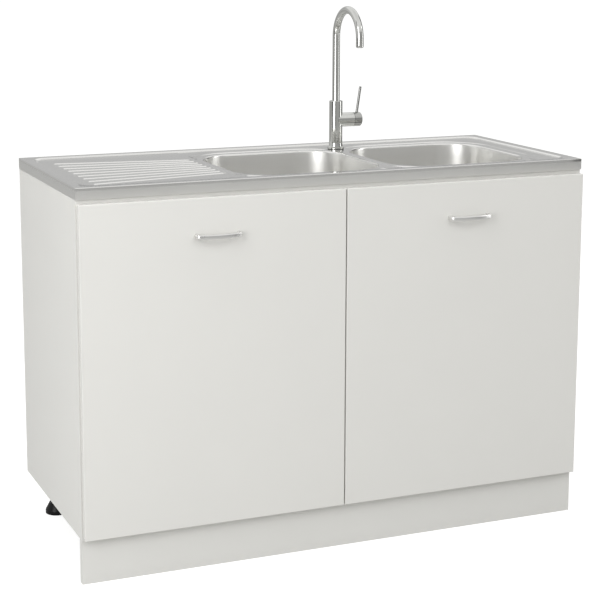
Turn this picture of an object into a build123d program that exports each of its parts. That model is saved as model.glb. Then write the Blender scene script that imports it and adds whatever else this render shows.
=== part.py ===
from build123d import *
import math
import os

# A free-standing kitchen sink unit: white two-door cabinet on adjustable legs, a lay-on steel
# sink with a drainer and two bowls, a swan-neck mixer tap and the waste pipes under the bowls.
# Millimetres. X runs along the front to the right, Y to the wall, Z up, floor at Z = 0.
# The origin is under the middle of the overall box, so handles and wall edge lie equally far.

# ---- Driving sizes -------------------------------------------------------------------------
sink_width = 1200.0
sink_depth = 500.0
worktop_height = 850.0

# Sink sheet
steel = 1.0
rim_drop = 25.0
rim_slope = 5.0
recess_drop = 3.0
rim_corner = 3.0
recess_corner = 30.0
front_ledge = 47.0
back_ledge = 106.0
right_ledge = 95.0
bowl_width = 342.0
bowl_gap = 30.0
bowl_corner = 85.0
bowl_drop = 160.0
bowl_foot_radius = 35.0

# Drainer ridges, which fan out from a point under the bowls
ridge_count = 9
ridge_pitch = 41.0
ridge_width = 7.0
ridge_height = 1.5
ridge_left_inset = 58.0
ridge_right_inset = 34.0
ridge_fan_length = 985.0

# Cabinet
board = 16.0
back_board = 3.0
carcass_side_gap = 1.0
carcass_back_gap = 1.0
leg_height = 98.0
front_rail_height = 80.0
rear_rail_height = 100.0
rear_rail_inset = 1.0
groove_depth = 8.0
groove_clearance = 0.3
service_width = 600.0
service_height = 360.0
service_bottom = 150.0

# Doors
door_proud = 12.0
door_thickness = 16.0
door_gap = 2.0
door_side_inset = 3.0
door_split = 3.0
door_bottom_lap = 4.0
door_top_inset = 34.0
door_edge_round = 1.2

# Handles
handle_holes = 96.0
handle_projection = 28.0
handle_post = 7.0
handle_thickness = 5.0
handle_height = 9.0
handle_shoulder = 17.0
handle_below_door_top = 80.0
handle_round = 1.6

# Concealed hinges: a cup in the door, a hooked link and an arm on a plate on the side panel
hinge_from_door_end = 95.0
cup_radius = 17.5
cup_depth = 12.0
cup_wall = 1.0
cup_inset = 21.0
cup_clearance = 0.2
cup_flange = 1.0
cup_flange_reach = 11.0
cup_pivot_inset = 8.0
cup_pivot_depth = 4.0
link_across = 14.4
link_back = 7.0
link_hook_x = 6.0
link_hook_y = -2.5
link_bar = 2.5
link_width = 9.0
link_eye = 2.4
pivot_radius = 1.2
pivot_clearance = 0.05
arm_cheek = 1.2
arm_side_gap = 0.3
arm_length = 62.0
arm_nose = 4.0
arm_half_depth = 5.0
plate_thickness = 3.0
plate_block = 2.5
plate_from_front = 37.0
plate_half_width = 24.0
plate_half_length = 9.0

# Legs
leg_side_inset = 62.0
leg_back_inset = 42.0
leg_front_inset = 59.0
socket_flange_radius = 30.0
socket_flange = 4.0
socket_radius = 18.0
socket_length = 48.0
stem_radius = 13.0
stem_top_gap = 13.0
foot_radius = 27.5
foot_height = 26.0
foot_toe = 8.0

# Plinth
plinth_gap = 1.0
plinth_setback = 3.0
clip_height = 20.0
clip_wall = 3.0

# Waste
waste_hole_radius = 45.0
strainer_flange_radius = 56.0
strainer_sheet = 1.2
strainer_depth = 42.0
basket_clearance = 1.0
basket_rest_gap = 0.3
basket_height = 34.0
knob_radius = 7.0
gasket = 3.0
waste_body_wall = 4.0
waste_body_height = 56.0
pipe_radius = 20.0
pipe_wall = 2.0
pipe_bend = 45.0
tail_length = 28.0
branch_drop = 10.0
tee_half = 46.0
nut_wall = 6.0
nut_length = 24.0
trap_radius = 38.0
trap_body_height = 50.0
trap_cup_radius = 34.0
trap_cup_height = 90.0
trap_wall = 3.0
outlet_end_gap = 1.0
outlet_spigot = 60.0
outlet_bead = 3.0
outlet_bead_rise = 2.0

# Tap
tap_from_divider = 8.0
tap_radius = 16.0
tap_flange_radius = 20.0
tap_flange_height = 4.0
tap_flare = 10.0
tap_height = 116.0
tap_hole_radius = 17.5
tap_gasket = 1.5
shank_radius = 14.0
shank_bore = 11.0
shank_length = 45.0
inlet_radius = 4.5
inlet_spacing = 11.0
inlet_length = 12.0
housing_axis = 69.0
housing_radius = 17.2
housing_length = 44.0
cartridge_radius = 14.0
cartridge_length = 24.0
lever_cap_gap = 0.8
lever_cap_length = 22.0
lever_cap_dome = 2.5
lever_radius = 3.0
lever_lean = 8.6
lever_length = 80.0
lever_pivot_from_axis = 52.9
lever_rock_forward = 14.0
lever_slot_clearance = 0.4
lever_ball_radius = 5.5
lever_trunnion_radius = 2.0
spout_radius = 9.0
spout_bore = 7.0
spout_reach = 132.0
spout_rise = 268.0
spout_drop = 18.0
spout_socket = 30.0
running_clearance = 0.05
aerator_height = 6.0

# ---- Datums worked out from the sizes ------------------------------------------------------
total_depth = sink_depth + door_proud + handle_projection
wall_y = total_depth / 2
sink_front_y = wall_y - sink_depth
door_front_y = sink_front_y - door_proud
door_back_y = door_front_y + door_thickness
carcass_front_y = door_back_y + door_gap
carcass_back_y = wall_y - carcass_back_gap
# The flat rim covers the front rail's top edge, and the pressed recess starts behind that rail
rim_flat = carcass_front_y + board - sink_front_y
sink_mid_y = (wall_y + sink_front_y) / 2
half_width = sink_width / 2
carcass_half = half_width - carcass_side_gap
panel_inside_x = carcass_half - board
carcass_top = worktop_height - steel
deck_top = worktop_height - recess_drop
deck_under = deck_top - steel

bowl_depth = sink_depth - front_ledge - back_ledge
bowl_mid_y = sink_front_y + front_ledge + bowl_depth / 2
right_bowl_x = half_width - right_ledge - bowl_width / 2
left_bowl_x = right_bowl_x - bowl_width - bowl_gap
divider_x = (left_bowl_x + right_bowl_x) / 2
bowl_floor = deck_top - bowl_drop

door_width = (sink_width - 2 * door_side_inset - door_split) / 2
door_mid_x = (door_split + door_width) / 2
door_bottom = leg_height + door_bottom_lap
door_top = worktop_height - door_top_inset
door_edge_x = half_width - door_side_inset
handle_z = door_top - handle_below_door_top
hinge_heights = (door_bottom + hinge_from_door_end, door_top - hinge_from_door_end)

tap_x = divider_x + tap_from_divider
tap_y = wall_y - back_ledge
tap_base = deck_top + tap_gasket
tap_top = tap_base + tap_height
housing_z = tap_base + housing_axis

upward = (Align.CENTER, Align.CENTER, Align.MIN)


# ---- Helpers -------------------------------------------------------------------------------
def block(x0, x1, y0, y1, z0, z1):
    """A box between two corners."""
    return Pos((x0 + x1) / 2, (y0 + y1) / 2, (z0 + z1) / 2) * Box(x1 - x0, y1 - y0, z1 - z0)


def rod(start, end, radius):
    """A round bar from one point to another."""
    run = Vector(*end) - Vector(*start)
    return Plane(origin=start, z_dir=run) * Cylinder(radius, run.length, align=upward)


def tube(start, end, radius, wall):
    """A round pipe from one point to another."""
    return rod(start, end, radius) - rod(start, end, radius - wall)


def group(pieces):
    """Like pieces that share one node, each still a solid of its own."""
    solids = []
    for piece in pieces:
        solids.extend(piece.solids())
    return Compound(children=solids)


def mirrored(piece):
    """The same piece for the other side of the unit."""
    return mirror(piece, about=Plane.YZ)


def turned(points, place):
    """A solid of revolution about a vertical axis, from points of radius and height."""
    outline = Plane.XZ * make_face(Polyline(*points, close=True))
    return place * revolve(outline, Axis.Z)


# ---- Cabinet -------------------------------------------------------------------------------
dowel_radius = 4.0
dowel_in_side = 11.0
dowel_in_rail = 24.0
cam_radius = 7.5
cam_thickness = 12.5
cam_from_end = 24.0
cam_bolt_radius = 2.5
cam_hole_clearance = 0.05

bottom_mid_z = leg_height + board / 2
front_rail_y = carcass_front_y + board / 2
rear_rail_y = carcass_back_y - rear_rail_inset - board / 2
rear_panel_y = carcass_back_y - rear_rail_inset - board - back_board
panel_depth = rear_panel_y - carcass_front_y
front_rail_bottom = carcass_top - front_rail_height
rear_rail_bottom = carcass_top - rear_rail_height

# Each joint to a side panel: Y and Z of its dowels, then Y, Z and bore direction of its cams
dowel_places = [
    (carcass_front_y + 60, bottom_mid_z),
    (carcass_front_y + panel_depth / 2, bottom_mid_z),
    (rear_panel_y - 60, bottom_mid_z),
    (front_rail_y, carcass_top - 20),
    (front_rail_y, front_rail_bottom + 12),
    (rear_rail_y, carcass_top - 20),
    (rear_rail_y, rear_rail_bottom + 20),
]
cam_places = [
    (carcass_front_y + 100, bottom_mid_z, "down"),
    (rear_panel_y - 100, bottom_mid_z, "down"),
    (front_rail_y, (carcass_top + front_rail_bottom) / 2, "inward"),
    (rear_rail_y, (carcass_top + rear_rail_bottom) / 2, "outward"),
]


def dowel(y, z, clearance=0.0):
    start = (-panel_inside_x - dowel_in_side, y, z)
    end = (-panel_inside_x + dowel_in_rail, y, z)
    return rod(start, end, dowel_radius + clearance)


def cam(y, z, way, clearance=0.0):
    """The cam disc, bored in from the face of its board that doesn't show."""
    x = -panel_inside_x + cam_from_end
    shift = board / 2
    faces = {"down": (0, 0, -1), "inward": (0, 1, 0), "outward": (0, 1, 0)}
    dx, dy, dz = faces[way]
    face = (x + dx * shift, y + dy * shift, z + dz * shift)
    deep = (face[0] - dx * cam_thickness, face[1] - dy * cam_thickness, face[2] - dz * cam_thickness)
    return rod(face, deep, cam_radius + clearance)


def cam_bolt(y, z, clearance=0.0):
    start = (-panel_inside_x - dowel_in_side, y, z)
    end = (-panel_inside_x + cam_from_end - cam_radius - cam_hole_clearance, y, z)
    return rod(start, end, cam_bolt_radius + clearance)


def joint_holes():
    """Every hole that the left-hand dowels, cams and bolts need."""
    holes = [dowel(y, z, cam_hole_clearance) for y, z in dowel_places]
    for y, z, way in cam_places:
        holes.append(cam(y, z, way, cam_hole_clearance))
        holes.append(cam_bolt(y, z, cam_hole_clearance))
    return holes


def drill_both_ends(panel):
    for hole in joint_holes():
        panel -= hole
        panel -= mirrored(hole)
    return panel


def left_side_panel():
    panel = block(-carcass_half, -panel_inside_x, carcass_front_y, carcass_back_y,
                  leg_height, carcass_top)
    rear_edge = panel.edges().filter_by(Axis.Z).sort_by(Axis.Y)[-2:].sort_by(Axis.X)[0]
    panel = fillet(rear_edge, rim_corner)
    panel -= block(-panel_inside_x - groove_depth, -panel_inside_x,
                   rear_panel_y - groove_clearance, rear_panel_y + back_board + groove_clearance,
                   leg_height, rear_rail_bottom + groove_depth)
    for hole in joint_holes():
        panel -= hole
    return panel


def bottom_panel():
    return drill_both_ends(block(-panel_inside_x, panel_inside_x, carcass_front_y,
                                 rear_panel_y - groove_clearance, leg_height, leg_height + board))


def front_rail():
    return drill_both_ends(block(-panel_inside_x, panel_inside_x, carcass_front_y,
                                 carcass_front_y + board, front_rail_bottom, carcass_top))


wall_screw_radius = 3.0
wall_screw_spacing = 800.0
wall_screw_drop = 30.0


def rear_rail():
    """The top rear rail, with the two holes for the screws into the wall."""
    back = carcass_back_y - rear_rail_inset
    rail = block(-panel_inside_x, panel_inside_x, back - board, back, rear_rail_bottom, carcass_top)
    for x in (-wall_screw_spacing / 2, wall_screw_spacing / 2):
        z = carcass_top - wall_screw_drop
        rail -= rod((x, back - board, z), (x, back, z), wall_screw_radius)
    return drill_both_ends(rail)


def back_panel():
    """The thin back, in the side panels' grooves, with the cut-out for the pipes."""
    reach = panel_inside_x + groove_depth - groove_clearance
    panel = block(-reach, reach, rear_panel_y, rear_panel_y + back_board,
                  leg_height, rear_rail_bottom + groove_depth - groove_clearance)
    return panel - block(divider_x - service_width / 2, divider_x + service_width / 2,
                         rear_panel_y, rear_panel_y + back_board,
                         leg_height + service_bottom, leg_height + service_bottom + service_height)


# ---- Legs and plinth -----------------------------------------------------------------------
leg_rows = {"rear": wall_y - leg_back_inset, "front": carcass_front_y + leg_front_inset}
leg_columns = {
    "left": -half_width + leg_side_inset,
    "middle": 0.0,
    "right": half_width - leg_side_inset,
}


def leg_socket(x, y):
    """The upper half of a leg: a flange under the cabinet floor and a threaded tube."""
    flange = rod((x, y, leg_height - socket_flange), (x, y, leg_height), socket_flange_radius)
    sleeve = rod((x, y, leg_height - socket_length), (x, y, leg_height), socket_radius)
    bore = rod((x, y, leg_height - socket_length), (x, y, leg_height), stem_radius + running_clearance)
    return flange + sleeve - bore


def foot(x, y):
    """The lower half of a leg: the stem that screws in the socket and the flared base."""
    top = leg_height - stem_top_gap
    points = [(0, 0), (foot_radius, 0), (foot_radius, foot_toe), (socket_radius, foot_height),
              (stem_radius, foot_height), (stem_radius, top), (0, top)]
    return turned(points, Pos(x, y, 0))


plinth_front_y = carcass_front_y + plinth_setback
plinth_back_y = plinth_front_y + board
plinth_top = leg_height - plinth_gap


def plinth_board():
    return block(-carcass_half, carcass_half, plinth_front_y, plinth_back_y, 0, plinth_top)


def plinth_clip(x):
    """A clip on the plinth's back that snaps round a front leg's socket."""
    y = leg_rows["front"]
    low = leg_height - socket_length + clip_wall
    high = low + clip_height
    inner = socket_radius + running_clearance
    ring = tube((x, y, low), (x, y, high), inner + clip_wall, clip_wall)
    ring -= block(x - inner * 0.8, x + inner * 0.8, y, y + 2 * inner, low, high)
    stalk = block(x - clip_wall, x + clip_wall, plinth_back_y, y - inner - clip_wall / 2, low, high)
    pad = block(x - inner, x + inner, plinth_back_y, plinth_back_y + clip_wall, low, high)
    return ring + stalk + pad


# ---- Sink ----------------------------------------------------------------------------------
def rounded_slab(width, depth, corner, z0, z1, x=0.0, y=0.0):
    outline = Pos(x, y, z0) * RectangleRounded(width, depth, corner)
    return extrude(outline, z1 - z0)


def recess_form(margin, floor_z):
    """The tapered recess pressed into the deck, as a solid from its floor to the rim's top."""
    flat_in = rim_flat - margin
    low = Pos(0, sink_mid_y, floor_z) * RectangleRounded(
        sink_width - 2 * (flat_in + rim_slope), sink_depth - 2 * (flat_in + rim_slope), recess_corner)
    high = Pos(0, sink_mid_y, worktop_height) * RectangleRounded(
        sink_width - 2 * flat_in, sink_depth - 2 * flat_in, recess_corner + rim_slope)
    return loft([low, high])


def bowl_form(x, margin, floor_z, foot_radius_here):
    form = rounded_slab(bowl_width + 2 * margin, bowl_depth + 2 * margin, bowl_corner + margin,
                        floor_z, deck_top, x, bowl_mid_y)
    return fillet(form.faces().sort_by(Axis.Z)[0].edges(), foot_radius_here)


def drainer_ridge(number):
    """One ridge of the fan, from the drainer's left end to the left bowl."""
    start_x = -half_width + ridge_left_inset
    end_x = left_bowl_x - bowl_width / 2 - ridge_right_inset
    start_y = bowl_mid_y + (number - (ridge_count - 1) / 2) * ridge_pitch
    end_y = bowl_mid_y + (start_y - bowl_mid_y) * (1 - (end_x - start_x) / ridge_fan_length)
    length = math.hypot(end_x - start_x, end_y - start_y)
    angle = math.degrees(math.atan2(end_y - start_y, end_x - start_x))
    place = Pos((start_x + end_x) / 2, (start_y + end_y) / 2, deck_top) * Rot(0, 0, angle)
    return extrude(place * SlotOverall(length, ridge_width), ridge_height)


def sink_deck():
    """The sheet with its turned-down rim, the recess, the ridges, and its three openings."""
    rim_bottom = worktop_height - rim_drop
    deck = rounded_slab(sink_width, sink_depth, rim_corner, rim_bottom, worktop_height, 0, sink_mid_y)
    deck -= rounded_slab(sink_width - 2 * steel, sink_depth - 2 * steel, rim_corner - steel,
                         rim_bottom, carcass_top, 0, sink_mid_y)
    deck += recess_form(steel, deck_under)
    deck -= recess_form(0.0, deck_top)
    for number in range(ridge_count):
        deck += drainer_ridge(number)
    for x in (left_bowl_x, right_bowl_x):
        deck -= rounded_slab(bowl_width + 2 * steel, bowl_depth + 2 * steel, bowl_corner + steel,
                             deck_under - steel, deck_top + steel, x, bowl_mid_y)
    return deck - rod((tap_x, tap_y, deck_under), (tap_x, tap_y, deck_top), tap_hole_radius)


def bowl(x):
    """A deep bowl with a round foot and the hole for its strainer."""
    shell = bowl_form(x, steel, bowl_floor - steel, bowl_foot_radius + steel)
    shell -= bowl_form(x, 0.0, bowl_floor, bowl_foot_radius)
    return shell - rod((x, bowl_mid_y, bowl_floor - steel), (x, bowl_mid_y, bowl_floor),
                       waste_hole_radius)


sink_clip_width = 20.0
sink_clip_drop = 30.0
sink_clip_reach = 16.0
sink_clip_sheet = 2.0


def sink_clip(x, y, turn):
    """An angle under the deck, its upright leg against the board that holds the sink."""
    upright = block(-sink_clip_width / 2, sink_clip_width / 2, 0, sink_clip_sheet,
                    -sink_clip_drop, 0)
    arm = block(-sink_clip_width / 2, sink_clip_width / 2, 0, sink_clip_reach, -sink_clip_sheet, 0)
    return Pos(x, y, deck_under) * Rot(0, 0, turn) * (upright + arm)


def sink_clips():
    clips = []
    for y in (sink_mid_y - sink_depth / 4, sink_mid_y + sink_depth / 4):
        clips.append(sink_clip(-panel_inside_x, y, -90))
        clips.append(sink_clip(panel_inside_x, y, 90))
    for x in (-sink_width / 3, divider_x, sink_width / 3):
        clips.append(sink_clip(x, carcass_front_y + board, 0))
        clips.append(sink_clip(x, rear_rail_y - board / 2, 180))
    return group(clips)


# ---- Waste ---------------------------------------------------------------------------------
strainer_radius = waste_hole_radius - 0.4
strainer_floor = bowl_floor - strainer_depth
gasket_under = bowl_floor - steel - gasket
waste_body_floor = gasket_under - waste_body_height
tail_end = waste_body_floor - tail_length
run_z = tail_end - branch_drop - pipe_bend
trap_top = run_z - tee_half
trap_y = bowl_mid_y
drain_holes = 8


def waste_flange(x):
    """The steel strainer cup that hangs in the bowl's hole by its flange."""
    inner = strainer_radius - strainer_sheet
    points = [(0, strainer_floor), (strainer_radius, strainer_floor), (strainer_radius, bowl_floor),
              (strainer_flange_radius, bowl_floor),
              (strainer_flange_radius, bowl_floor + strainer_sheet),
              (inner, bowl_floor + strainer_sheet), (inner, strainer_floor + strainer_sheet),
              (0, strainer_floor + strainer_sheet)]
    cup = turned(points, Pos(x, bowl_mid_y, 0))
    for number in range(drain_holes):
        place = Pos(x, bowl_mid_y, 0) * Rot(0, 0, number * 360 / drain_holes) * Pos(inner / 2, 0, 0)
        cup -= place * rod((0, 0, strainer_floor), (0, 0, strainer_floor + strainer_sheet), 5.0)
    return cup


def basket(x):
    """The lift-out strainer basket with the knob that it is pulled by."""
    outer = strainer_radius - strainer_sheet - basket_clearance
    low = strainer_floor + strainer_sheet + basket_rest_gap
    high = low + basket_height
    wall = strainer_sheet
    knob_top = high + knob_radius
    points = [(0, low), (outer - 4, low), (outer, high), (outer - wall, high),
              (outer - 4 - wall, low + wall), (2.5, low + wall), (2.5, high),
              (knob_radius, high + 1), (knob_radius, knob_top - 1), (knob_radius - 2, knob_top),
              (0, knob_top)]
    cup = turned(points, Pos(x, bowl_mid_y, 0))
    for ring_radius, count in ((12.0, 8), (20.0, 12), (28.0, 18)):
        for number in range(count):
            place = Pos(x, bowl_mid_y, 0) * Rot(0, 0, number * 360 / count) * Pos(ring_radius, 0, 0)
            cup -= place * rod((0, 0, low), (0, 0, low + wall), 1.75)
    return cup


def waste_body(x):
    """The plastic funnel under the bowl, down to the end of its tail pipe."""
    inner = strainer_radius + 1.5
    outer = inner + waste_body_wall
    bore = pipe_radius - pipe_wall
    floor = waste_body_floor + waste_body_wall
    points = [(bore, tail_end), (pipe_radius, tail_end), (pipe_radius, waste_body_floor),
              (outer, waste_body_floor + 6), (outer, gasket_under - 6),
              (strainer_flange_radius, gasket_under - 6), (strainer_flange_radius, gasket_under),
              (inner, gasket_under), (inner, floor + 6), (bore, floor)]
    return turned(points, Pos(x, bowl_mid_y, 0))


def waste_gasket(x):
    return tube((x, bowl_mid_y, gasket_under), (x, bowl_mid_y, gasket_under + gasket),
                strainer_flange_radius, strainer_flange_radius - waste_hole_radius - 2)


def branch_pipe(x, toward):
    """The bent pipe from a bowl's tail to the tee between the bowls."""
    tee_end = divider_x - toward * tee_half
    path = FilletPolyline((x, bowl_mid_y, tail_end), (x, bowl_mid_y, run_z),
                          (tee_end, bowl_mid_y, run_z), radius=pipe_bend)
    start = Plane(origin=(x, bowl_mid_y, tail_end), z_dir=(0, 0, -1))
    section = start * Circle(pipe_radius) - start * Circle(pipe_radius - pipe_wall)
    return sweep(section, path)


def waste_tee():
    across = [(divider_x - tee_half, trap_y, run_z), (divider_x + tee_half, trap_y, run_z)]
    down = [(divider_x, trap_y, run_z), (divider_x, trap_y, trap_top)]
    solid = rod(*across, pipe_radius) + rod(*down, pipe_radius)
    bore = pipe_radius - pipe_wall
    return solid - rod(*across, bore) - rod(*down, bore)


def pipe_nut(start, direction):
    """A slip nut round the butt of two pipes, centred on it."""
    centre = Vector(*start)
    reach = Vector(*direction) * (nut_length / 2)
    ring = rod(tuple(centre - reach), tuple(centre + reach), pipe_radius + nut_wall)
    return ring - rod(tuple(centre - reach), tuple(centre + reach), pipe_radius + running_clearance)


def pipe_nuts():
    tail_nut_z = tail_end - branch_drop + nut_length / 2
    nuts = [pipe_nut((x, bowl_mid_y, tail_nut_z), (0, 0, 1)) for x in (left_bowl_x, right_bowl_x)]
    for side in (-1, 1):
        nuts.append(pipe_nut((divider_x + side * tee_half, trap_y, run_z), (1, 0, 0)))
    nuts.append(pipe_nut((divider_x, trap_y, trap_top + nut_length / 2), (0, 0, 1)))
    return group(nuts)


outlet_z = trap_top - trap_body_height / 2
outlet_start_y = trap_y + trap_radius
outlet_end_y = wall_y - outlet_end_gap


def trap_body():
    """The bottle trap's cap: its inlet dips into the cup and its outlet faces the wall."""
    low = trap_top - trap_body_height
    body = rod((divider_x, trap_y, low), (divider_x, trap_y, trap_top), trap_radius)
    body -= rod((divider_x, trap_y, low), (divider_x, trap_y, trap_top - trap_wall),
                trap_radius - trap_wall)
    body += rod((divider_x, trap_y, low - trap_cup_height / 2), (divider_x, trap_y, trap_top),
                pipe_radius - pipe_wall)
    bore = pipe_radius - 2 * pipe_wall
    body -= rod((divider_x, trap_y, low - trap_cup_height / 2), (divider_x, trap_y, trap_top), bore)
    return body - rod((divider_x, trap_y + pipe_radius, outlet_z),
                      (divider_x, outlet_start_y, outlet_z), pipe_radius - pipe_wall)


def trap_cup():
    """The cup that unscrews from under the trap for cleaning."""
    high = trap_top - trap_body_height
    cup = rod((divider_x, trap_y, high - trap_cup_height), (divider_x, trap_y, high), trap_cup_radius)
    return cup - rod((divider_x, trap_y, high - trap_cup_height + trap_wall),
                     (divider_x, trap_y, high), trap_cup_radius - trap_wall)


def outlet_pipe():
    """The pipe from the trap to the drain in the wall, with the bead that stops it there."""
    start = (divider_x, trap_y + trap_radius - trap_wall, outlet_z)
    pipe = tube(start, (divider_x, outlet_end_y, outlet_z), pipe_radius, pipe_wall)
    bead_y = outlet_end_y - outlet_spigot
    pipe += tube((divider_x, bead_y - outlet_bead, outlet_z), (divider_x, bead_y, outlet_z),
                 pipe_radius + outlet_bead_rise, outlet_bead_rise + pipe_wall / 2)
    return pipe - rod((divider_x, trap_y, outlet_z - trap_radius),
                      (divider_x, trap_y, outlet_z + trap_radius), trap_radius)


# ---- Tap -----------------------------------------------------------------------------------
def tap_body():
    """The tap's column, its side housing, the spout's socket and the two inlets."""
    flare_top = tap_flange_height + tap_flare
    points = [(0, tap_base), (tap_flange_radius, tap_base),
              (tap_flange_radius, tap_base + tap_flange_height),
              (tap_radius + 1.0, tap_base + tap_flange_height + 1.5),
              (tap_radius, tap_base + flare_top), (tap_radius, tap_top - 1),
              (tap_radius - 1, tap_top), (0, tap_top)]
    body = turned(points, Pos(tap_x, tap_y, 0))
    axis_start = (tap_x, tap_y, housing_z)
    housing_end = (tap_x + housing_length, tap_y, housing_z)
    body += rod(axis_start, housing_end, housing_radius)
    body -= rod((tap_x + housing_length - cartridge_length, tap_y, housing_z), housing_end,
                cartridge_radius + running_clearance)
    body -= rod((tap_x, tap_y, tap_top - spout_socket), (tap_x, tap_y, tap_top),
                spout_radius + running_clearance)
    for side in (-1, 1):
        x = tap_x + side * inlet_spacing / 2
        body -= rod((x, tap_y, tap_base), (x, tap_y, tap_base + inlet_length), inlet_radius)
    return body


def tap_shank():
    """The threaded tail under the tap, which the inlets' connectors pass through."""
    low = deck_under - shank_length
    shank = rod((tap_x, tap_y, low), (tap_x, tap_y, tap_base), shank_radius)
    return shank - rod((tap_x, tap_y, low), (tap_x, tap_y, tap_base), shank_bore)


def tap_washer():
    """The wide washer that spreads the nut's pull under the thin deck."""
    low = deck_under - 3.0
    return tube((tap_x, tap_y, low), (tap_x, tap_y, deck_under), 25.0,
                25.0 - shank_radius - running_clearance)


def tap_nut():
    high = deck_under - 3.0
    low = high - 10.0
    outline = Pos(tap_x, tap_y, low) * RegularPolygon(21.0, 6)
    nut = extrude(outline, high - low)
    return nut - rod((tap_x, tap_y, low), (tap_x, tap_y, high), shank_radius + running_clearance)


def tap_gasket_ring():
    return tube((tap_x, tap_y, deck_top), (tap_x, tap_y, tap_base), tap_flange_radius - 0.5,
                tap_flange_radius - 0.5 - shank_radius - 0.1)


stem_reach = 5.0
stem_rod_radius = 4.0
cap_start = tap_x + housing_length + lever_cap_gap
lever_pivot_x = tap_x + lever_pivot_from_axis


def cartridge():
    """The mixing cartridge in the side housing, with the stub that the cap turns on."""
    start = tap_x + housing_length - cartridge_length
    barrel = rod((start, tap_y, housing_z), (tap_x + housing_length, tap_y, housing_z),
                 cartridge_radius)
    stub_end = (cap_start + 0.5, tap_y, housing_z)
    return barrel + rod((start, tap_y, housing_z), stub_end, cartridge_radius - 3)


def lever_cap():
    """The turning cap on the housing's end, hollow, with the slot that the lever rocks in."""
    end = cap_start + lever_cap_length
    points = [(0, 0), (housing_radius, 0), (housing_radius, lever_cap_length - lever_cap_dome - 2),
              (housing_radius - 2, lever_cap_length - lever_cap_dome), (0, lever_cap_length)]
    outline = Plane.XZ * make_face(Polyline(*points, close=True))
    shell = Plane(origin=(cap_start, tap_y, housing_z), z_dir=(1, 0, 0)) * revolve(outline, Axis.Z)
    shell -= rod((cap_start, tap_y, housing_z), (end - 5, tap_y, housing_z), cartridge_radius)
    rocked = math.radians(lever_lean + lever_rock_forward)
    width = lever_radius + lever_slot_clearance
    slot_x0 = lever_pivot_x - width
    slot_x1 = lever_pivot_x + housing_radius * math.tan(rocked) + width / math.cos(rocked)
    return shell - block(slot_x0, slot_x1, tap_y - width, tap_y + width, housing_z,
                         housing_z + housing_radius + 1)


def lever_direction():
    lean = math.radians(lever_lean)
    return Vector(math.sin(lean), 0, math.cos(lean))


def lever_pin():
    """The slim lever, with the ball and cross pin that it rocks on inside the cap."""
    root = Vector(lever_pivot_x, tap_y, housing_z)
    tip = root + lever_direction() * lever_length
    pin = rod(tuple(root), tuple(tip), lever_radius)
    pin = fillet(pin.edges().sort_by(Axis.Z)[-1], 1.0)
    cross = cartridge_radius - lever_slot_clearance
    pin += rod((root.X, root.Y - cross, root.Z), (root.X, root.Y + cross, root.Z),
               lever_trunnion_radius)
    return pin + Pos(*tuple(root)) * Sphere(lever_ball_radius)


def spout():
    """The swan-neck tube: up, over in a half circle towards the bowls, and down."""
    foot_z = tap_top - spout_socket + 1.0
    turn_z = worktop_height + spout_rise
    end_z = turn_z - spout_drop
    outlet_y = tap_y - spout_reach
    path = Line((tap_x, tap_y, foot_z), (tap_x, tap_y, turn_z))
    path += ThreePointArc((tap_x, tap_y, turn_z),
                          (tap_x, tap_y - spout_reach / 2, turn_z + spout_reach / 2),
                          (tap_x, outlet_y, turn_z))
    path += Line((tap_x, outlet_y, turn_z), (tap_x, outlet_y, end_z))
    start = Plane(origin=(tap_x, tap_y, foot_z), z_dir=(0, 0, 1))
    return sweep(start * Circle(spout_radius) - start * Circle(spout_bore), path)


def aerator():
    """The flow straightener pressed in the spout's mouth."""
    end_z = worktop_height + spout_rise - spout_drop
    y = tap_y - spout_reach
    radius = spout_bore - running_clearance
    ring = rod((tap_x, y, end_z - 1.0), (tap_x, y, end_z + aerator_height), radius)
    for number in range(6):
        place = Pos(tap_x, y, 0) * Rot(0, 0, number * 60) * Pos(4.0, 0, 0)
        ring -= place * rod((0, 0, end_z - 1.0), (0, 0, end_z + aerator_height), 1.2)
    return ring


# ---- Doors, left-hand; the right-hand ones are mirrored --------------------------------------
cup_x = -door_edge_x + cup_inset
cup_pivot = (-door_edge_x + cup_pivot_inset, door_back_y - cup_pivot_depth)
arm_pivot = (cup_pivot[0] + link_across, cup_pivot[1] + link_back)
handle_screw_radius = 2.0
handle_screw_bite = 12.0
handle_screw_head = 4.0
handle_screw_head_height = 1.6
bumper_radius = 5.0
bumper_from_split = 25.0


def handle_screw_places():
    return [(-door_mid_x + side * handle_holes / 2, handle_z) for side in (-1, 1)]


def left_door():
    door = block(-door_edge_x, -door_split / 2, door_front_y, door_back_y, door_bottom, door_top)
    door = fillet(door.edges(), door_edge_round)
    for z in hinge_heights:
        door -= rod((cup_x, door_back_y, z), (cup_x, door_back_y - cup_depth - cup_clearance, z),
                    cup_radius + cup_clearance)
    for x, z in handle_screw_places():
        door -= rod((x, door_front_y, z), (x, door_back_y, z), handle_screw_radius + 0.1)
    return door


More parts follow.
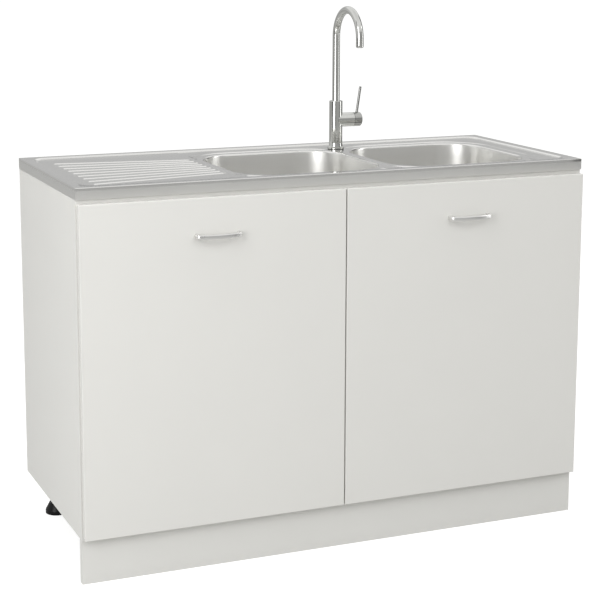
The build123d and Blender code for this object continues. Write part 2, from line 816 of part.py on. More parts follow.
def left_handle():
    """A slim bow: two short posts on the door, joined by a shallow arch."""
    half = handle_holes / 2 + handle_post / 2
    inner = handle_holes / 2 - handle_post / 2
    shoulder = handle_shoulder
    peak = handle_projection
    inner_shoulder = shoulder - handle_thickness
    lines = Line((-half, 0), (-half, -shoulder))
    lines += ThreePointArc((-half, -shoulder), (0, -peak), (half, -shoulder))
    lines += Line((half, -shoulder), (half, 0))
    lines += Line((half, 0), (inner, 0))
    lines += Line((inner, 0), (inner, -inner_shoulder))
    lines += ThreePointArc((inner, -inner_shoulder), (0, handle_thickness - peak),
                           (-inner, -inner_shoulder))
    lines += Line((-inner, -inner_shoulder), (-inner, 0))
    lines += Line((-inner, 0), (-half, 0))
    bow = extrude(make_face(lines), handle_height)
    front_edges = bow.edges().filter_by(lambda edge: edge.center().Y < -0.5)
    bow = fillet(front_edges.filter_by(GeomType.CIRCLE), handle_round)
    bow = Pos(-door_mid_x, door_front_y, handle_z - handle_height / 2) * bow
    for x, z in handle_screw_places():
        bow -= rod((x, door_front_y, z), (x, door_front_y - handle_screw_bite + 1, z),
                   handle_screw_radius + running_clearance)
    return bow


def left_handle_screws():
    screws = []
    for x, z in handle_screw_places():
        shaft = rod((x, door_back_y, z), (x, door_front_y - handle_screw_bite + 2, z),
                    handle_screw_radius)
        head = rod((x, door_back_y, z), (x, door_back_y + handle_screw_head_height, z),
                   handle_screw_head)
        screws.append(shaft + head)
    return group(screws)


def left_door_bumpers():
    x = -door_split / 2 - bumper_from_split
    heights = (leg_height + board / 2 + 2, door_top - bumper_from_split)
    return group([rod((x, door_back_y, z), (x, carcass_front_y, z), bumper_radius) for z in heights])


def hinge_cup(z):
    """The cup in the door, its screwed flange and the pin that the link turns on."""
    floor_y = door_back_y - cup_depth
    cup = rod((cup_x, door_back_y, z), (cup_x, floor_y, z), cup_radius)
    flange_half = cup_radius + cup_flange_reach
    cup += block(cup_x - cup_radius + 1, cup_x + cup_radius + 3, door_back_y,
                 door_back_y + cup_flange, z - cup_radius, z + cup_radius)
    cup += block(cup_x - 2, cup_x + 10, door_back_y, door_back_y + cup_flange,
                 z - flange_half, z + flange_half)
    cup -= rod((cup_x, door_back_y + cup_flange, z), (cup_x, floor_y + cup_wall, z),
               cup_radius - cup_wall)
    x, y = cup_pivot
    pin = rod((x, y, z - cup_radius), (x, y, z + cup_radius), pivot_radius)
    return cup + (pin & rod((cup_x, door_back_y, z), (cup_x, floor_y, z), cup_radius))


def flat_bar(start, end, width):
    length = math.hypot(end[0] - start[0], end[1] - start[1])
    angle = math.degrees(math.atan2(end[1] - start[1], end[0] - start[0]))
    place = Pos((start[0] + end[0]) / 2, (start[1] + end[1]) / 2) * Rot(0, 0, angle)
    return place * Rectangle(length, width)


def hinge_link(z):
    """The hooked link that carries the door from the arm's nose into the cup."""
    hook = (cup_pivot[0] + link_hook_x, cup_pivot[1] + link_hook_y)
    outline = flat_bar(cup_pivot, hook, link_bar) + flat_bar(hook, arm_pivot, link_bar)
    outline += Pos(*hook) * Circle(link_bar / 2)
    for pivot in (cup_pivot, arm_pivot):
        outline += Pos(*pivot) * Circle(link_eye)
    for pivot in (cup_pivot, arm_pivot):
        outline -= Pos(*pivot) * Circle(pivot_radius + pivot_clearance)
    return extrude(Pos(0, 0, z - link_width / 2) * outline, link_width)


def hinge_arm(z):
    """The channel that runs back from the nose and clips over the plate's block."""
    x, y = arm_pivot
    half = link_width / 2 + arm_side_gap
    x0 = -panel_inside_x + plate_thickness + arm_side_gap
    x1 = x + arm_half_depth
    arm = block(x1 - arm_cheek, x1, y + arm_nose, y + arm_length, z - half, z + half)
    for side in (-1, 1):
        low, high = sorted((z + side * half, z + side * (half + arm_cheek)))
        arm += block(x0, x1, y + arm_nose, y + arm_length, low, high)
        arm += block(x - arm_nose, x + arm_nose, y, y + arm_nose, low, high)
        arm += rod((x, y, low), (x, y, high), arm_nose)
    return arm + rod((x, y, z - half), (x, y, z + half), pivot_radius)


def plate_screw_places(z):
    y = carcass_front_y + plate_from_front
    return [(y, z - 16), (y, z + 16)]


def hinge_plate(z):
    """The mounting plate on the side panel, with wings for its two screws."""
    y = carcass_front_y + plate_from_front
    x0 = -panel_inside_x
    x1 = x0 + plate_thickness
    half = link_width / 2
    plate = block(x0, x1, y - plate_half_length, y + plate_half_length,
                  z - plate_half_width, z + plate_half_width)
    plate += block(x0, x1 + plate_block, y - plate_half_length, y + plate_half_length * 1.6,
                   z - half, z + half)
    for screw_y, screw_z in plate_screw_places(z):
        plate -= rod((x0, screw_y, screw_z), (x1, screw_y, screw_z), 2.5)
    return plate


def plate_screw(y, z):
    x0 = -panel_inside_x + plate_thickness
    return rod((x0, y, z), (x0 + 1.5, y, z), 4.0) + rod((x0 - plate_thickness, y, z), (x0, y, z), 2.4)


def hinge_screws():
    screws = []
    for z in hinge_heights:
        for y, screw_z in plate_screw_places(z):
            screws.append(plate_screw(y, screw_z))
            screws.append(mirrored(plate_screw(y, screw_z)))
    return group(screws)


def per_hinge(make, sides=("left",)):
    """One piece for each hinge of the named doors."""
    pieces = []
    for z in hinge_heights:
        for side in sides:
            pieces.append(make(z) if side == "left" else mirrored(make(z)))
    return group(pieces)


# ---- All nodes -----------------------------------------------------------------------------
def joint_pieces(make, places):
    pieces = [make(*place) for place in places]
    return group(pieces + [mirrored(piece) for piece in pieces])


def all_nodes():
    both = ("left", "right")
    left_panel = left_side_panel()
    nodes = {
        "left_side_panel": left_panel,
        "right_side_panel": mirrored(left_panel),
        "bottom_panel": bottom_panel(),
        "front_rail": front_rail(),
        "rear_rail": rear_rail(),
        "back_panel": back_panel(),
        "assembly_dowels": joint_pieces(dowel, dowel_places),
        "cam_locks": joint_pieces(cam, cam_places),
        "cam_bolts": joint_pieces(cam_bolt, [place[:2] for place in cam_places]),
        "leg_sockets": group([leg_socket(x, y) for y in leg_rows.values()
                              for x in leg_columns.values()]),
        "plinth_board": plinth_board(),
        "plinth_clips": group([plinth_clip(x) for x in leg_columns.values()]),
        "sink_deck": sink_deck(),
        "left_bowl": bowl(left_bowl_x),
        "right_bowl": bowl(right_bowl_x),
        "sink_clips": sink_clips(),
        "left_waste_flange": waste_flange(left_bowl_x),
        "right_waste_flange": waste_flange(right_bowl_x),
        "left_basket": basket(left_bowl_x),
        "right_basket": basket(right_bowl_x),
        "left_waste_body": waste_body(left_bowl_x),
        "right_waste_body": waste_body(right_bowl_x),
        "sealing_gaskets": group([waste_gasket(left_bowl_x), waste_gasket(right_bowl_x),
                                  tap_gasket_ring()]),
        "left_branch_pipe": branch_pipe(left_bowl_x, 1),
        "right_branch_pipe": branch_pipe(right_bowl_x, -1),
        "waste_tee": waste_tee(),
        "pipe_nuts": pipe_nuts(),
        "trap_body": trap_body(),
        "trap_cup": trap_cup(),
        "outlet_pipe": outlet_pipe(),
        "tap_body": tap_body(),
        "tap_shank": tap_shank(),
        "tap_washer": tap_washer(),
        "tap_nut": tap_nut(),
        "mixing_cartridge": cartridge(),
        "lever_cap": lever_cap(),
        "lever_pin": lever_pin(),
        "spout": spout(),
        "aerator": aerator(),
        "hinge_plates": per_hinge(hinge_plate, both),
        "hinge_arms": per_hinge(hinge_arm, both),
        "hinge_screws": hinge_screws(),
    }
    for row, y in leg_rows.items():
        for column, x in leg_columns.items():
            nodes[f"{row}_{column}_foot"] = foot(x, y)
    door_pieces = {
        "door": left_door(),
        "handle": left_handle(),
        "handle_screws": left_handle_screws(),
        "door_bumpers": left_door_bumpers(),
        "hinge_cups": per_hinge(hinge_cup),
        "hinge_links": per_hinge(hinge_link),
    }
    for name, piece in door_pieces.items():
        nodes[f"left_{name}"] = piece
        nodes[f"right_{name}"] = mirrored(piece)
    return nodes


os.makedirs("parts", exist_ok=True)
for node_name, shape in all_nodes().items():
    export_step(shape, f"parts/{node_name}.step")
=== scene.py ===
import math
from functools import cache, partial, partialmethod

import bmesh
import bpy
from bpy.props import FloatProperty, FloatVectorProperty, IntProperty, PointerProperty
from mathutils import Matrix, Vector


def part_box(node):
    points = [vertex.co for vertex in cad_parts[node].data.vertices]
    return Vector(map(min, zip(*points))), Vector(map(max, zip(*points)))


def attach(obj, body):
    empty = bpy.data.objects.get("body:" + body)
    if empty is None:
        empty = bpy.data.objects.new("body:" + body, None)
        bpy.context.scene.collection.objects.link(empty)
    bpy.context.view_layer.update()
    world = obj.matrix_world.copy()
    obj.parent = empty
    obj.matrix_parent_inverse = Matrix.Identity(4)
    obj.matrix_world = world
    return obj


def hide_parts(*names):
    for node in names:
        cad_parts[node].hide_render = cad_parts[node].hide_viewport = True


bl_info = {
    "name": "Kitchen Sink Unit",
    "version": (1, 0, 0),
    "blender": (4, 5, 0),
    "location": "3D View > Sidebar > Sink Unit",
    "description": "Pressed sink, tap and finishes built round the packed sink unit",
    "category": "Object",
}

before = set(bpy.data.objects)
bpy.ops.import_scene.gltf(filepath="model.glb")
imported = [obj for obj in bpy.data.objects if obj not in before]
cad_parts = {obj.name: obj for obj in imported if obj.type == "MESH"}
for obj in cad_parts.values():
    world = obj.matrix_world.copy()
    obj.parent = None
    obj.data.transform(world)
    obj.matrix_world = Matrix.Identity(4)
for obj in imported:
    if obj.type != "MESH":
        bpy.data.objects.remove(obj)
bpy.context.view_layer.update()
MM = 0.001


def middle(low, high):
    """The point in the middle of a box."""
    return [(a + b) / 2 for a, b in zip(low, high)]


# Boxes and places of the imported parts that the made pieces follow
DECK_LOW, DECK_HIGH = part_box("sink_deck")
DECK_MID_Y = middle(DECK_LOW, DECK_HIGH)[1]
LEFT_BOWL, RIGHT_BOWL = middle(*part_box("left_bowl")), middle(*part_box("right_bowl"))
SPOUT_LOW, SPOUT_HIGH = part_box("spout")
TAP_AXIS = middle(*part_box("tap_shank"))[:2]
SPOUT_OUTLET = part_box("aerator")[0][2] + 1 * MM


# ---- Sizes and colours ----
def length(name, description, default, top=2.0):
    """A size in metres."""
    return FloatProperty(name=name, description=description, default=default, min=0.0, max=top,
                         unit="LENGTH", subtype="DISTANCE", precision=4)


def power(name, description, default):
    """The power of a lamp."""
    return FloatProperty(name=name, description=description, default=default, min=0.0,
                         max=1000.0, unit="POWER")


def colour(name, description, default):
    """A plain colour."""
    return FloatVectorProperty(name=name, description=description, default=default, size=3,
                               min=0.0, max=1.0, subtype="COLOR")


class SinkSheetSizes(bpy.types.PropertyGroup):
    """Sizes of the pressed sink sheet."""
    rim_flat: length("Rim", "Width of the flat rim round the sheet", 22 * MM)
    rim_slope: length("Rim slope", "Width of the slope from the rim to the deck", 5 * MM)
    recess: length("Deck depth", "How far the deck lies below the rim", 3 * MM)
    recess_corner: length("Deck corner", "Corner radius of the deck", 30 * MM)
    rim_drop: length("Rim drop", "Height of the turned-down rim", 25 * MM)
    bowl_width: length("Bowl width", "Width of each bowl along the front", 342 * MM)
    bowl_length: length("Bowl length", "Length of each bowl from front to back", 347 * MM)
    bowl_corner: length("Bowl corner", "Corner radius of the bowls", 85 * MM)
    bowl_drop: length("Bowl depth", "Depth of the bowls below the deck", 160 * MM)
    bowl_foot: length("Bowl foot", "Radius between a bowl's wall and floor", 35 * MM)
    bowl_lip: length("Bowl lip", "Radius of the lip round each bowl", 5 * MM)
    waste_hole: length("Waste hole", "Radius of the waste hole", 45 * MM)
    bead_reach: length("Bead distance", "Distance of the pressed bead from the bowls", 27 * MM)
    bead_width: length("Bead width", "Width of the pressed bead", 17 * MM)
    bead_height: length("Bead height", "Height of the pressed bead", 2.0 * MM)
    ridge_count: IntProperty(name="Ridges", description="Number of drainer ridges", default=9,
                             min=3, max=15)
    ridge_pitch: length("Ridge pitch", "Distance between ridges at their wide end", 41 * MM)
    ridge_width: length("Ridge width", "Width of a drainer ridge", 9.5 * MM)
    ridge_height: length("Ridge height", "Height of a drainer ridge", 1.9 * MM)
    ridge_fan: length("Ridge fan", "Distance from the wide end to where the ridges would meet",
                      985 * MM)


class TapSizes(bpy.types.PropertyGroup):
    """Sizes of the swan-neck spout."""
    spout_radius: length("Spout radius", "Outer radius of the spout tube", 9 * MM)
    spout_wall: length("Spout wall", "Wall of the spout tube", 2 * MM)
    bend_radius: length("Bend radius", "Radius of the swan neck's bend", 65.5 * MM)


class HandleSizes(bpy.types.PropertyGroup):
    """Sizes of the bow handles."""
    thickness: length("Thickness", "Depth of the bow's bar", 8 * MM)
    height: length("Height", "Height of the bow's bar", 11 * MM)
    shoulder: length("Shoulder", "How far the bow's ends stand off the door", 14.5 * MM)
    bend: length("Bend", "Bend between the feet and the bow", 6 * MM)
    edge: length("Edge", "Radius of the bar's long edges", 3.8 * MM)


class Finishes(bpy.types.PropertyGroup):
    """Colours of the finishes."""
    steel: colour("Sink steel", "Brushed steel of the sink", (0.8, 0.796, 0.775))
    chrome: colour("Chrome", "Polished chrome of the tap", (0.64, 0.643, 0.62))
    door: colour("Doors", "Gloss white of the doors", (0.78, 0.773, 0.742))
    board: colour("Boards", "White of the cabinet boards", (0.77, 0.765, 0.735))
    handle: colour("Handles", "Satin metal of the handles", (0.78, 0.775, 0.76))
    pipe: colour("Pipes", "White plastic of the waste pipes", (0.74, 0.74, 0.72))
    feet: colour("Feet", "Black plastic of the feet", (0.006, 0.006, 0.006))


class StageSettings(bpy.types.PropertyGroup):
    """Light and camera."""
    lens: FloatProperty(name="Lens", description="Focal length of the camera", default=95.0,
                        min=10.0, max=300.0, unit="CAMERA")
    sky: FloatProperty(name="Sky", description="Strength of the plain light from all round",
                       default=0.6, min=0.0, max=2.0)
    key: power("Key lamp", "Power of the lamp at the left", 56.0)
    front: power("Front lamp", "Power of the lamp in front", 31.0)
    side: power("Side lamp", "Power of the narrow lamp at the right", 14.0)
    top: power("Top lamp", "Power of the lamp above the sink", 38.0)


# ---- Node graphs ----
class Graph:
    """Short words for adding nodes to a tree and joining them."""

    def __init__(self, tree):
        self.tree = tree

    def add(self, kind, inputs=(), **settings):
        """A node with its settings, and a value or a socket for each named input."""
        node = self.tree.nodes.new(kind)
        for key, value in settings.items():
            setattr(node, key, value)
        for key, value in dict(inputs).items():
            self.feed(node.inputs[key], value)
        return node

    def feed(self, socket, value):
        """Joins a socket, or sets a plain value."""
        if isinstance(value, bpy.types.NodeSocket):
            self.tree.links.new(value, socket)
        else:
            socket.default_value = value

    def fill(self, node, values, out=0):
        """Feeds a node's inputs in their order, and gives one of its outputs."""
        for socket, value in zip(node.inputs, values):
            self.feed(socket, value)
        return node.outputs[out]

    def math(self, operation, *values):
        """The result of one sum."""
        return self.fill(self.add("ShaderNodeMath", operation=operation), values)

    plus = partialmethod(math, "ADD")
    minus = partialmethod(math, "SUBTRACT")
    times = partialmethod(math, "MULTIPLY")

    def vector(self, operation, *values, out=0):
        """The result of one vector sum."""
        return self.fill(self.add("ShaderNodeVectorMath", operation=operation), values, out)

    def ramp(self, value, low, high, to_low, to_high):
        """A value carried smoothly from one range to another, and held at its ends."""
        node = self.add("ShaderNodeMapRange", interpolation_type="SMOOTHSTEP")
        return self.fill(node, (value, low, high, to_low, to_high))

    def parts(self, vector):
        """The three numbers of a vector."""
        return self.add("ShaderNodeSeparateXYZ", {"Vector": vector}).outputs


def new_tree(name, output, **inputs):
    """The graph of a geometry tree with named inputs of each kind and one output."""
    tree = bpy.data.node_groups.new(name, "GeometryNodeTree")
    for kind, labels in inputs.items():
        for label in labels:
            tree.interface.new_socket(label, in_out="INPUT", socket_type="NodeSocket" + kind)
    tree.interface.new_socket(output, in_out="OUTPUT", socket_type="NodeSocket" + output)
    graph = Graph(tree)
    return graph, graph.add("NodeGroupInput").outputs


def end_tree(graph, geometry, material):
    """Ends a tree as one plain mesh with its material, and gives the tree."""
    real = graph.add("GeometryNodeRealizeInstances", {"Geometry": geometry})
    painted = graph.add("GeometryNodeSetMaterial", {"Geometry": real.outputs[0],
                                                    "Material": material})
    graph.add("NodeGroupOutput", {"Geometry": painted.outputs[0]})
    return graph.tree


def by_label(group):
    """The values of a group of sizes by their labels, which the trees' inputs share."""
    return {group.bl_rna.properties[key].name: getattr(group, key)
            for key in group.__annotations__}


def run_tree(carrier, tree, values, name):
    """A tree's result as a plain mesh piece, with nothing live left on it."""
    modifier = carrier.modifiers.new("shape", "NODES")
    modifier.node_group = tree
    for item in tree.interface.items_tree:
        if item.item_type == "SOCKET" and item.in_out == "INPUT" and item.name in values:
            modifier[item.identifier] = values[item.name]
    seen = carrier.evaluated_get(bpy.context.evaluated_depsgraph_get())
    mesh = bpy.data.meshes.new_from_object(seen)
    mesh.name = name
    bpy.data.objects.remove(carrier)
    return add_piece(name, mesh)


# ---- Mesh helpers ----
WELD = 0.02 * MM


def add_piece(name, mesh):
    """A new object in the scene, at the origin."""
    piece = bpy.data.objects.new(name, mesh)
    bpy.context.scene.collection.objects.link(piece)
    return piece


def shade(piece, sharp_degrees=35):
    """Smooth faces, with open edges and edges above an angle left sharp."""
    piece.data.shade_smooth()
    piece.data.set_sharp_from_angle(angle=math.radians(sharp_degrees))
    mesh = bmesh.new()
    mesh.from_mesh(piece.data)
    for edge in mesh.edges:
        if edge.is_boundary:
            edge.smooth = False
    mesh.to_mesh(piece.data)
    mesh.free()


def outward(piece):
    """Joins points that fall together and turns every face of a piece outwards."""
    mesh = bmesh.new()
    mesh.from_mesh(piece.data)
    bmesh.ops.remove_doubles(mesh, verts=mesh.verts, dist=WELD)
    bmesh.ops.recalc_face_normals(mesh, faces=mesh.faces)
    mesh.to_mesh(piece.data)
    mesh.free()


def thicken(piece, name, thickness):
    """Gives a sheet its thickness, inwards from the faces made."""
    wall = piece.modifiers.new(name, "SOLIDIFY")
    wall.thickness = thickness
    wall.offset = -1.0


# ---- Sink sheet ----
SHEET = 0.9 * MM
TAP_CLEARANCE = 24 * MM
TINY = 1e-7
SIDES = ((0, -1), (1, 0), (0, 1), (-1, 0))

# Where the drainer's ridges start and end, from the deck's left edge and from the left bowl
RIDGE_START, RIDGE_STOP = 31 * MM, 19 * MM

# Grid of the drainer: rows in front of, between and behind the ridges, rows on a ridge in
# sixths of its width, and columns before, at the ends of, along and after the ridges
FRONT_ROWS, GAP_ROWS, BACK_ROWS = 4, 3, 6
RIDGE_ROWS = (-3.4, -2.2, -1.1, 0, 1.1, 2.2, 3.4)
FIRST_COLUMNS, END_COLUMNS, RIDGE_COLUMNS, LAST_COLUMNS = 5, 4, 44, 3
END_LENGTH = 3.5 * MM

# Grid of the bowls: lines across and along each bowl's field, rings from it to the bowl's lip
# and how they crowd towards it, and steps down the lip, the wall, its foot and the floor
FIELD_COLUMNS, FIELD_ROWS = 62, 60
RINGS, CROWDING = 26, 1.15
LIP_STEPS, WALL_STEPS, FOOT_STEPS, FLOOR_STEPS = 4, 5, 8, 5

# How far a bowl narrows on its way down
DRAFT = 2 * MM

# The turned-down rim: radius of its fold, height of its hem, radius of its corners, distance
# from the fold to the flat's last line, steps up the slope and the least share of roundness
FOLD, HEM, RIM_CORNER, RIM_LINE = 1.6 * MM, 1.2 * MM, 3 * MM, 2 * MM
RIM_SLOPE_STEPS, LEAST_ROUND = (0.22, 0.42, 0.6, 0.8, 1.0), 0.1


def rounded_loop(centre, half_x, half_y, radius, shares):
    """Points of a rounded box, anticlockwise from the middle of its front left corner.

    Each side runs from one corner's middle to the next one's, in shares from -1 to 1."""
    points = []
    for (side_x, side_y), marks in zip(SIDES, shares):
        half, out = (half_x, half_y) if side_x == 0 else (half_y, half_x)
        straight = half - radius
        for share in marks[:-1]:
            along, reach = share * (straight + math.pi / 4 * radius), out
            if abs(along) > straight:
                angle = (abs(along) - straight) / radius
                reach = out - radius * (1 - math.cos(angle))
                along = math.copysign(straight + radius * math.sin(angle), along)
            points.append((centre[0] + side_x * reach - side_y * along,
                           centre[1] + side_y * reach + side_x * along))
    return points


def rim_point(x, y, inner, outer, outer_radius):
    """The point on a larger rounded box that lies straight outside one on the deck's edge."""
    half_x, half_y, radius = inner
    big_x, big_y = outer
    up = y - DECK_MID_Y
    over_x, over_y = abs(x) - (half_x - radius), abs(up) - (half_y - radius)
    if over_x <= TINY or over_y <= TINY:
        if over_x > over_y:
            return math.copysign(big_x, x), y
        return x, DECK_MID_Y + math.copysign(big_y, up)
    size = math.hypot(over_x, over_y)
    step_x, step_y = over_x / size, over_y / size
    start_x, start_y = half_x - radius, half_y - radius
    reach = min((big_x - start_x) / step_x, (big_y - start_y) / step_y)
    at_x, at_y = start_x + reach * step_x, start_y + reach * step_y
    round_x, round_y = big_x - outer_radius, big_y - outer_radius
    if at_x > round_x and at_y > round_y:
        gap_x, gap_y = start_x - round_x, start_y - round_y
        half_b = gap_x * step_x + gap_y * step_y
        rest = gap_x * gap_x + gap_y * gap_y - outer_radius * outer_radius
        reach = -half_b + math.sqrt(max(half_b * half_b - rest, 0.0))
        at_x, at_y = start_x + reach * step_x, start_y + reach * step_y
    return math.copysign(at_x, x), DECK_MID_Y + math.copysign(at_y, up)


def spread(low, high, count):
    """Evenly spaced values from one to the other, both included."""
    return [low + (high - low) * i / count for i in range(count + 1)]


class SheetPlan:
    """The flat plan of the sink sheet: its deck, two bowls and turned-down rim."""

    def __init__(self, sizes):
        self.sizes = sizes
        self.half_x = DECK_HIGH[0] - sizes.rim_flat - sizes.rim_slope
        self.half_y = (DECK_HIGH[1] - DECK_LOW[1]) / 2 - sizes.rim_flat - sizes.rim_slope
        self.front, self.back = DECK_MID_Y - self.half_y, DECK_MID_Y + self.half_y
        self.top = DECK_HIGH[2]
        self.deck = self.top - sizes.recess
        self.left_x, self.bowl_y = LEFT_BOWL[:2]
        self.right_x = RIGHT_BOWL[0]
        self.divider = (self.left_x + self.right_x) / 2
        self.drain_x = 2 * self.left_x - self.divider
        self.ridge_start = -self.half_x + RIDGE_START
        self.ridge_end = self.drain_x - RIDGE_STOP
        self.mesh = bmesh.new()
        self.points = {}

    def point(self, x, y, z):
        """The sheet's point at a place, made once."""
        key = (round(x * 1e6), round(y * 1e6), round(z * 1e6))
        if key not in self.points:
            self.points[key] = self.mesh.verts.new((x, y, z))
        return self.points[key]

    def face(self, *corners):
        """One face, left out where its corners fall together."""
        kept = list(dict.fromkeys(corners))
        if len(kept) > 2:
            self.mesh.faces.new(kept)

    def strip(self, inner, outer):
        """Faces between two closed loops of points, the second one outside the first."""
        for corners in zip(inner, outer, outer[1:] + outer[:1], inner[1:] + inner[:1]):
            self.face(*corners)

    def on_deck(self, x, y):
        """A point of the deck, carried square onto the deck's rounded corners."""
        radius, up = self.sizes.recess_corner, y - DECK_MID_Y
        straight_x, straight_y = self.half_x - radius, self.half_y - radius
        u, v = (abs(x) - straight_x) / radius, (abs(up) - straight_y) / radius
        if u > 0 and v > 0:
            x = math.copysign(straight_x + radius * u * math.sqrt(1 - v * v / 2), x)
            y = DECK_MID_Y + math.copysign(straight_y + radius * v * math.sqrt(1 - u * u / 2),
                                           up)
        return self.point(x, y, self.deck)

    def between(self, first, second, share):
        """A loop of points on the way from one level loop to another."""
        return [self.point(a.co.x + (b.co.x - a.co.x) * share,
                           a.co.y + (b.co.y - a.co.y) * share, a.co.z)
                for a, b in zip(first, second)]

    def ridge_rows(self, x):
        """The places of the drainer's grid lines from front to back, close together on ridges."""
        sizes = self.sizes
        fan = 1 - (x - self.ridge_start) / sizes.ridge_fan
        half = (sizes.ridge_count - 1) / 2
        across = [sizes.ridge_width * k / 6 for k in RIDGE_ROWS]
        centres = [self.bowl_y + (n - half) * sizes.ridge_pitch * fan
                   for n in range(sizes.ridge_count)]
        rows = spread(self.front, centres[0] + across[0], FRONT_ROWS)
        for n, centre in enumerate(centres):
            rows += [centre + step for step in across[1:]]
            if n + 1 < len(centres):
                rows += spread(centre + across[-1], centres[n + 1] + across[0], GAP_ROWS)[1:]
        return rows + spread(centres[-1] + across[-1], self.back, BACK_ROWS)[1:]

    def drainer(self):
        """The deck left of the bowls, on grid lines that fan out with the ridges."""
        edge, start, end = END_LENGTH, self.ridge_start, self.ridge_end
        columns = spread(-self.half_x, start - 1.6 * edge, FIRST_COLUMNS)
        columns += spread(start - edge, start, END_COLUMNS)
        columns += spread(start + edge / 2, end - edge / 2, RIDGE_COLUMNS)
        columns += spread(end, end + edge, END_COLUMNS)
        columns += spread(end + 2 * edge, self.drain_x, LAST_COLUMNS)
        grid = [[self.on_deck(x, y) for y in self.ridge_rows(x)] for x in columns]
        for left, right in zip(grid, grid[1:]):
            for corners in zip(left, right, right[1:], left[1:]):
                self.face(*corners)

    def cell(self, centre_x, left, right, left_rows):
        """The deck round one bowl, from the edges of its rectangle to the lip, and the bowl."""
        sizes = self.sizes
        middle_x, middle_y = (left + right) / 2, (self.front + self.back) / 2
        xs = spread(left, right, FIELD_COLUMNS)
        lines = ([(x, self.front) for x in xs],
                 [(right, y) for y in spread(self.front, self.back, FIELD_ROWS)],
                 [(x, self.back) for x in xs[::-1]], [(left, y) for y in left_rows[::-1]])
        shares = [[side_x * (y - middle_y) / self.half_y - side_y * (x - middle_x)
                   / ((right - left) / 2) for x, y in line]
                  for (side_x, side_y), line in zip(SIDES, lines)]
        outer = [self.on_deck(x, y) for line in lines for x, y in line[:-1]]
        centre = (centre_x, self.bowl_y)
        half_x, half_y, corner = sizes.bowl_width / 2, sizes.bowl_length / 2, sizes.bowl_corner

        def ring(grow, z):
            """The bowl's outline grown or shrunk by a distance, at a height."""
            flat = rounded_loop(centre, half_x + grow, half_y + grow, max(corner + grow, 1e-4),
                                shares)
            return [self.point(x, y, z) for x, y in flat]

        lip, deck = sizes.bowl_lip, self.deck
        edge = ring(lip, deck)
        loops = [outer]
        for k in range(RINGS - 1, 0, -1):
            loops.append(self.between(edge, outer, (k / RINGS) ** CROWDING))
        loops.append(edge)
        for k in range(1, LIP_STEPS + 1):
            angle = math.radians(90 / LIP_STEPS * k)
            loops.append(ring(lip - lip * math.sin(angle), deck - lip + lip * math.cos(angle)))
        foot, floor = sizes.bowl_foot, deck - sizes.bowl_drop
        for k in range(1, WALL_STEPS + 1):
            share = k / WALL_STEPS
            z = deck - lip + (floor + foot - deck + lip) * share
            loops.append(ring(-DRAFT * share, z))
        for k in range(1, FOOT_STEPS + 1):
            angle = math.radians(90 * k / FOOT_STEPS)
            loops.append(ring(-DRAFT - foot * (1 - math.cos(angle)),
                              floor + foot - foot * math.sin(angle)))
        last = loops[-1]
        hole = []
        for vert in last:
            angle = math.atan2(vert.co.y - centre[1], vert.co.x - centre[0])
            hole.append(self.point(centre[0] + sizes.waste_hole * math.cos(angle),
                                   centre[1] + sizes.waste_hole * math.sin(angle), floor))
        for k in range(1, FLOOR_STEPS):
            loops.append(self.between(last, hole, k / FLOOR_STEPS))
        loops.append(hole)
        for wide, narrow in zip(loops, loops[1:]):
            self.strip(narrow, wide)

    def rim(self):
        """The slope, the flat rim and the turned-down edge, from the deck's border outwards."""
        sizes = self.sizes
        border = {}
        for edge in self.mesh.edges:
            flat = all(abs(vert.co.z - self.deck) < 1e-6 for vert in edge.verts)
            if edge.is_boundary and flat:
                loop = edge.link_loops[0]
                border[loop.vert] = loop.link_loop_next.vert
        start = next(iter(border))
        line = [start]
        while border[line[-1]] != start:
            line.append(border[line[-1]])
        inner = (self.half_x, self.half_y, sizes.recess_corner)
        wide_x, wide_y = DECK_HIGH[0], (DECK_HIGH[1] - DECK_LOW[1]) / 2
        whole, bottom = sizes.rim_slope + sizes.rim_flat, self.top - sizes.rim_drop
        profile = [(sizes.rim_slope * k, self.deck + sizes.recess * k * k * (3 - 2 * k), 1.0)
                   for k in RIM_SLOPE_STEPS]
        profile.append((whole - FOLD - RIM_LINE, self.top, 0.2))
        for degrees in (0, 22.5, 45, 67.5, 90):
            turn = math.radians(degrees)
            profile.append((whole - FOLD + FOLD * math.sin(turn),
                            self.top - FOLD + FOLD * math.cos(turn), LEAST_ROUND))
        profile += [(whole, bottom + HEM, LEAST_ROUND), (whole - HEM / 3, bottom, LEAST_ROUND)]
        previous = line
        for out, z, share in profile:
            grown = (wide_x - whole + out, wide_y - whole + out)
            rounder = (share - LEAST_ROUND) / (1 - LEAST_ROUND)
            radius = RIM_CORNER + (sizes.recess_corner + out - RIM_CORNER) * rounder
            loop = [self.point(*rim_point(vert.co.x, vert.co.y, inner, grown, radius), z)
                    for vert in line]
            self.strip(previous, loop)
            previous = loop

    def build(self):
        """The whole plan as a mesh object."""
        rows = self.ridge_rows(self.drain_x)
        self.drainer()
        self.cell(self.left_x, self.drain_x, self.divider, rows)
        self.cell(self.right_x, self.divider, self.half_x,
                  spread(self.front, self.back, FIELD_ROWS))
        self.rim()
        mesh = bpy.data.meshes.new("sink_plan")
        self.mesh.to_mesh(mesh)
        self.mesh.free()
        return mesh


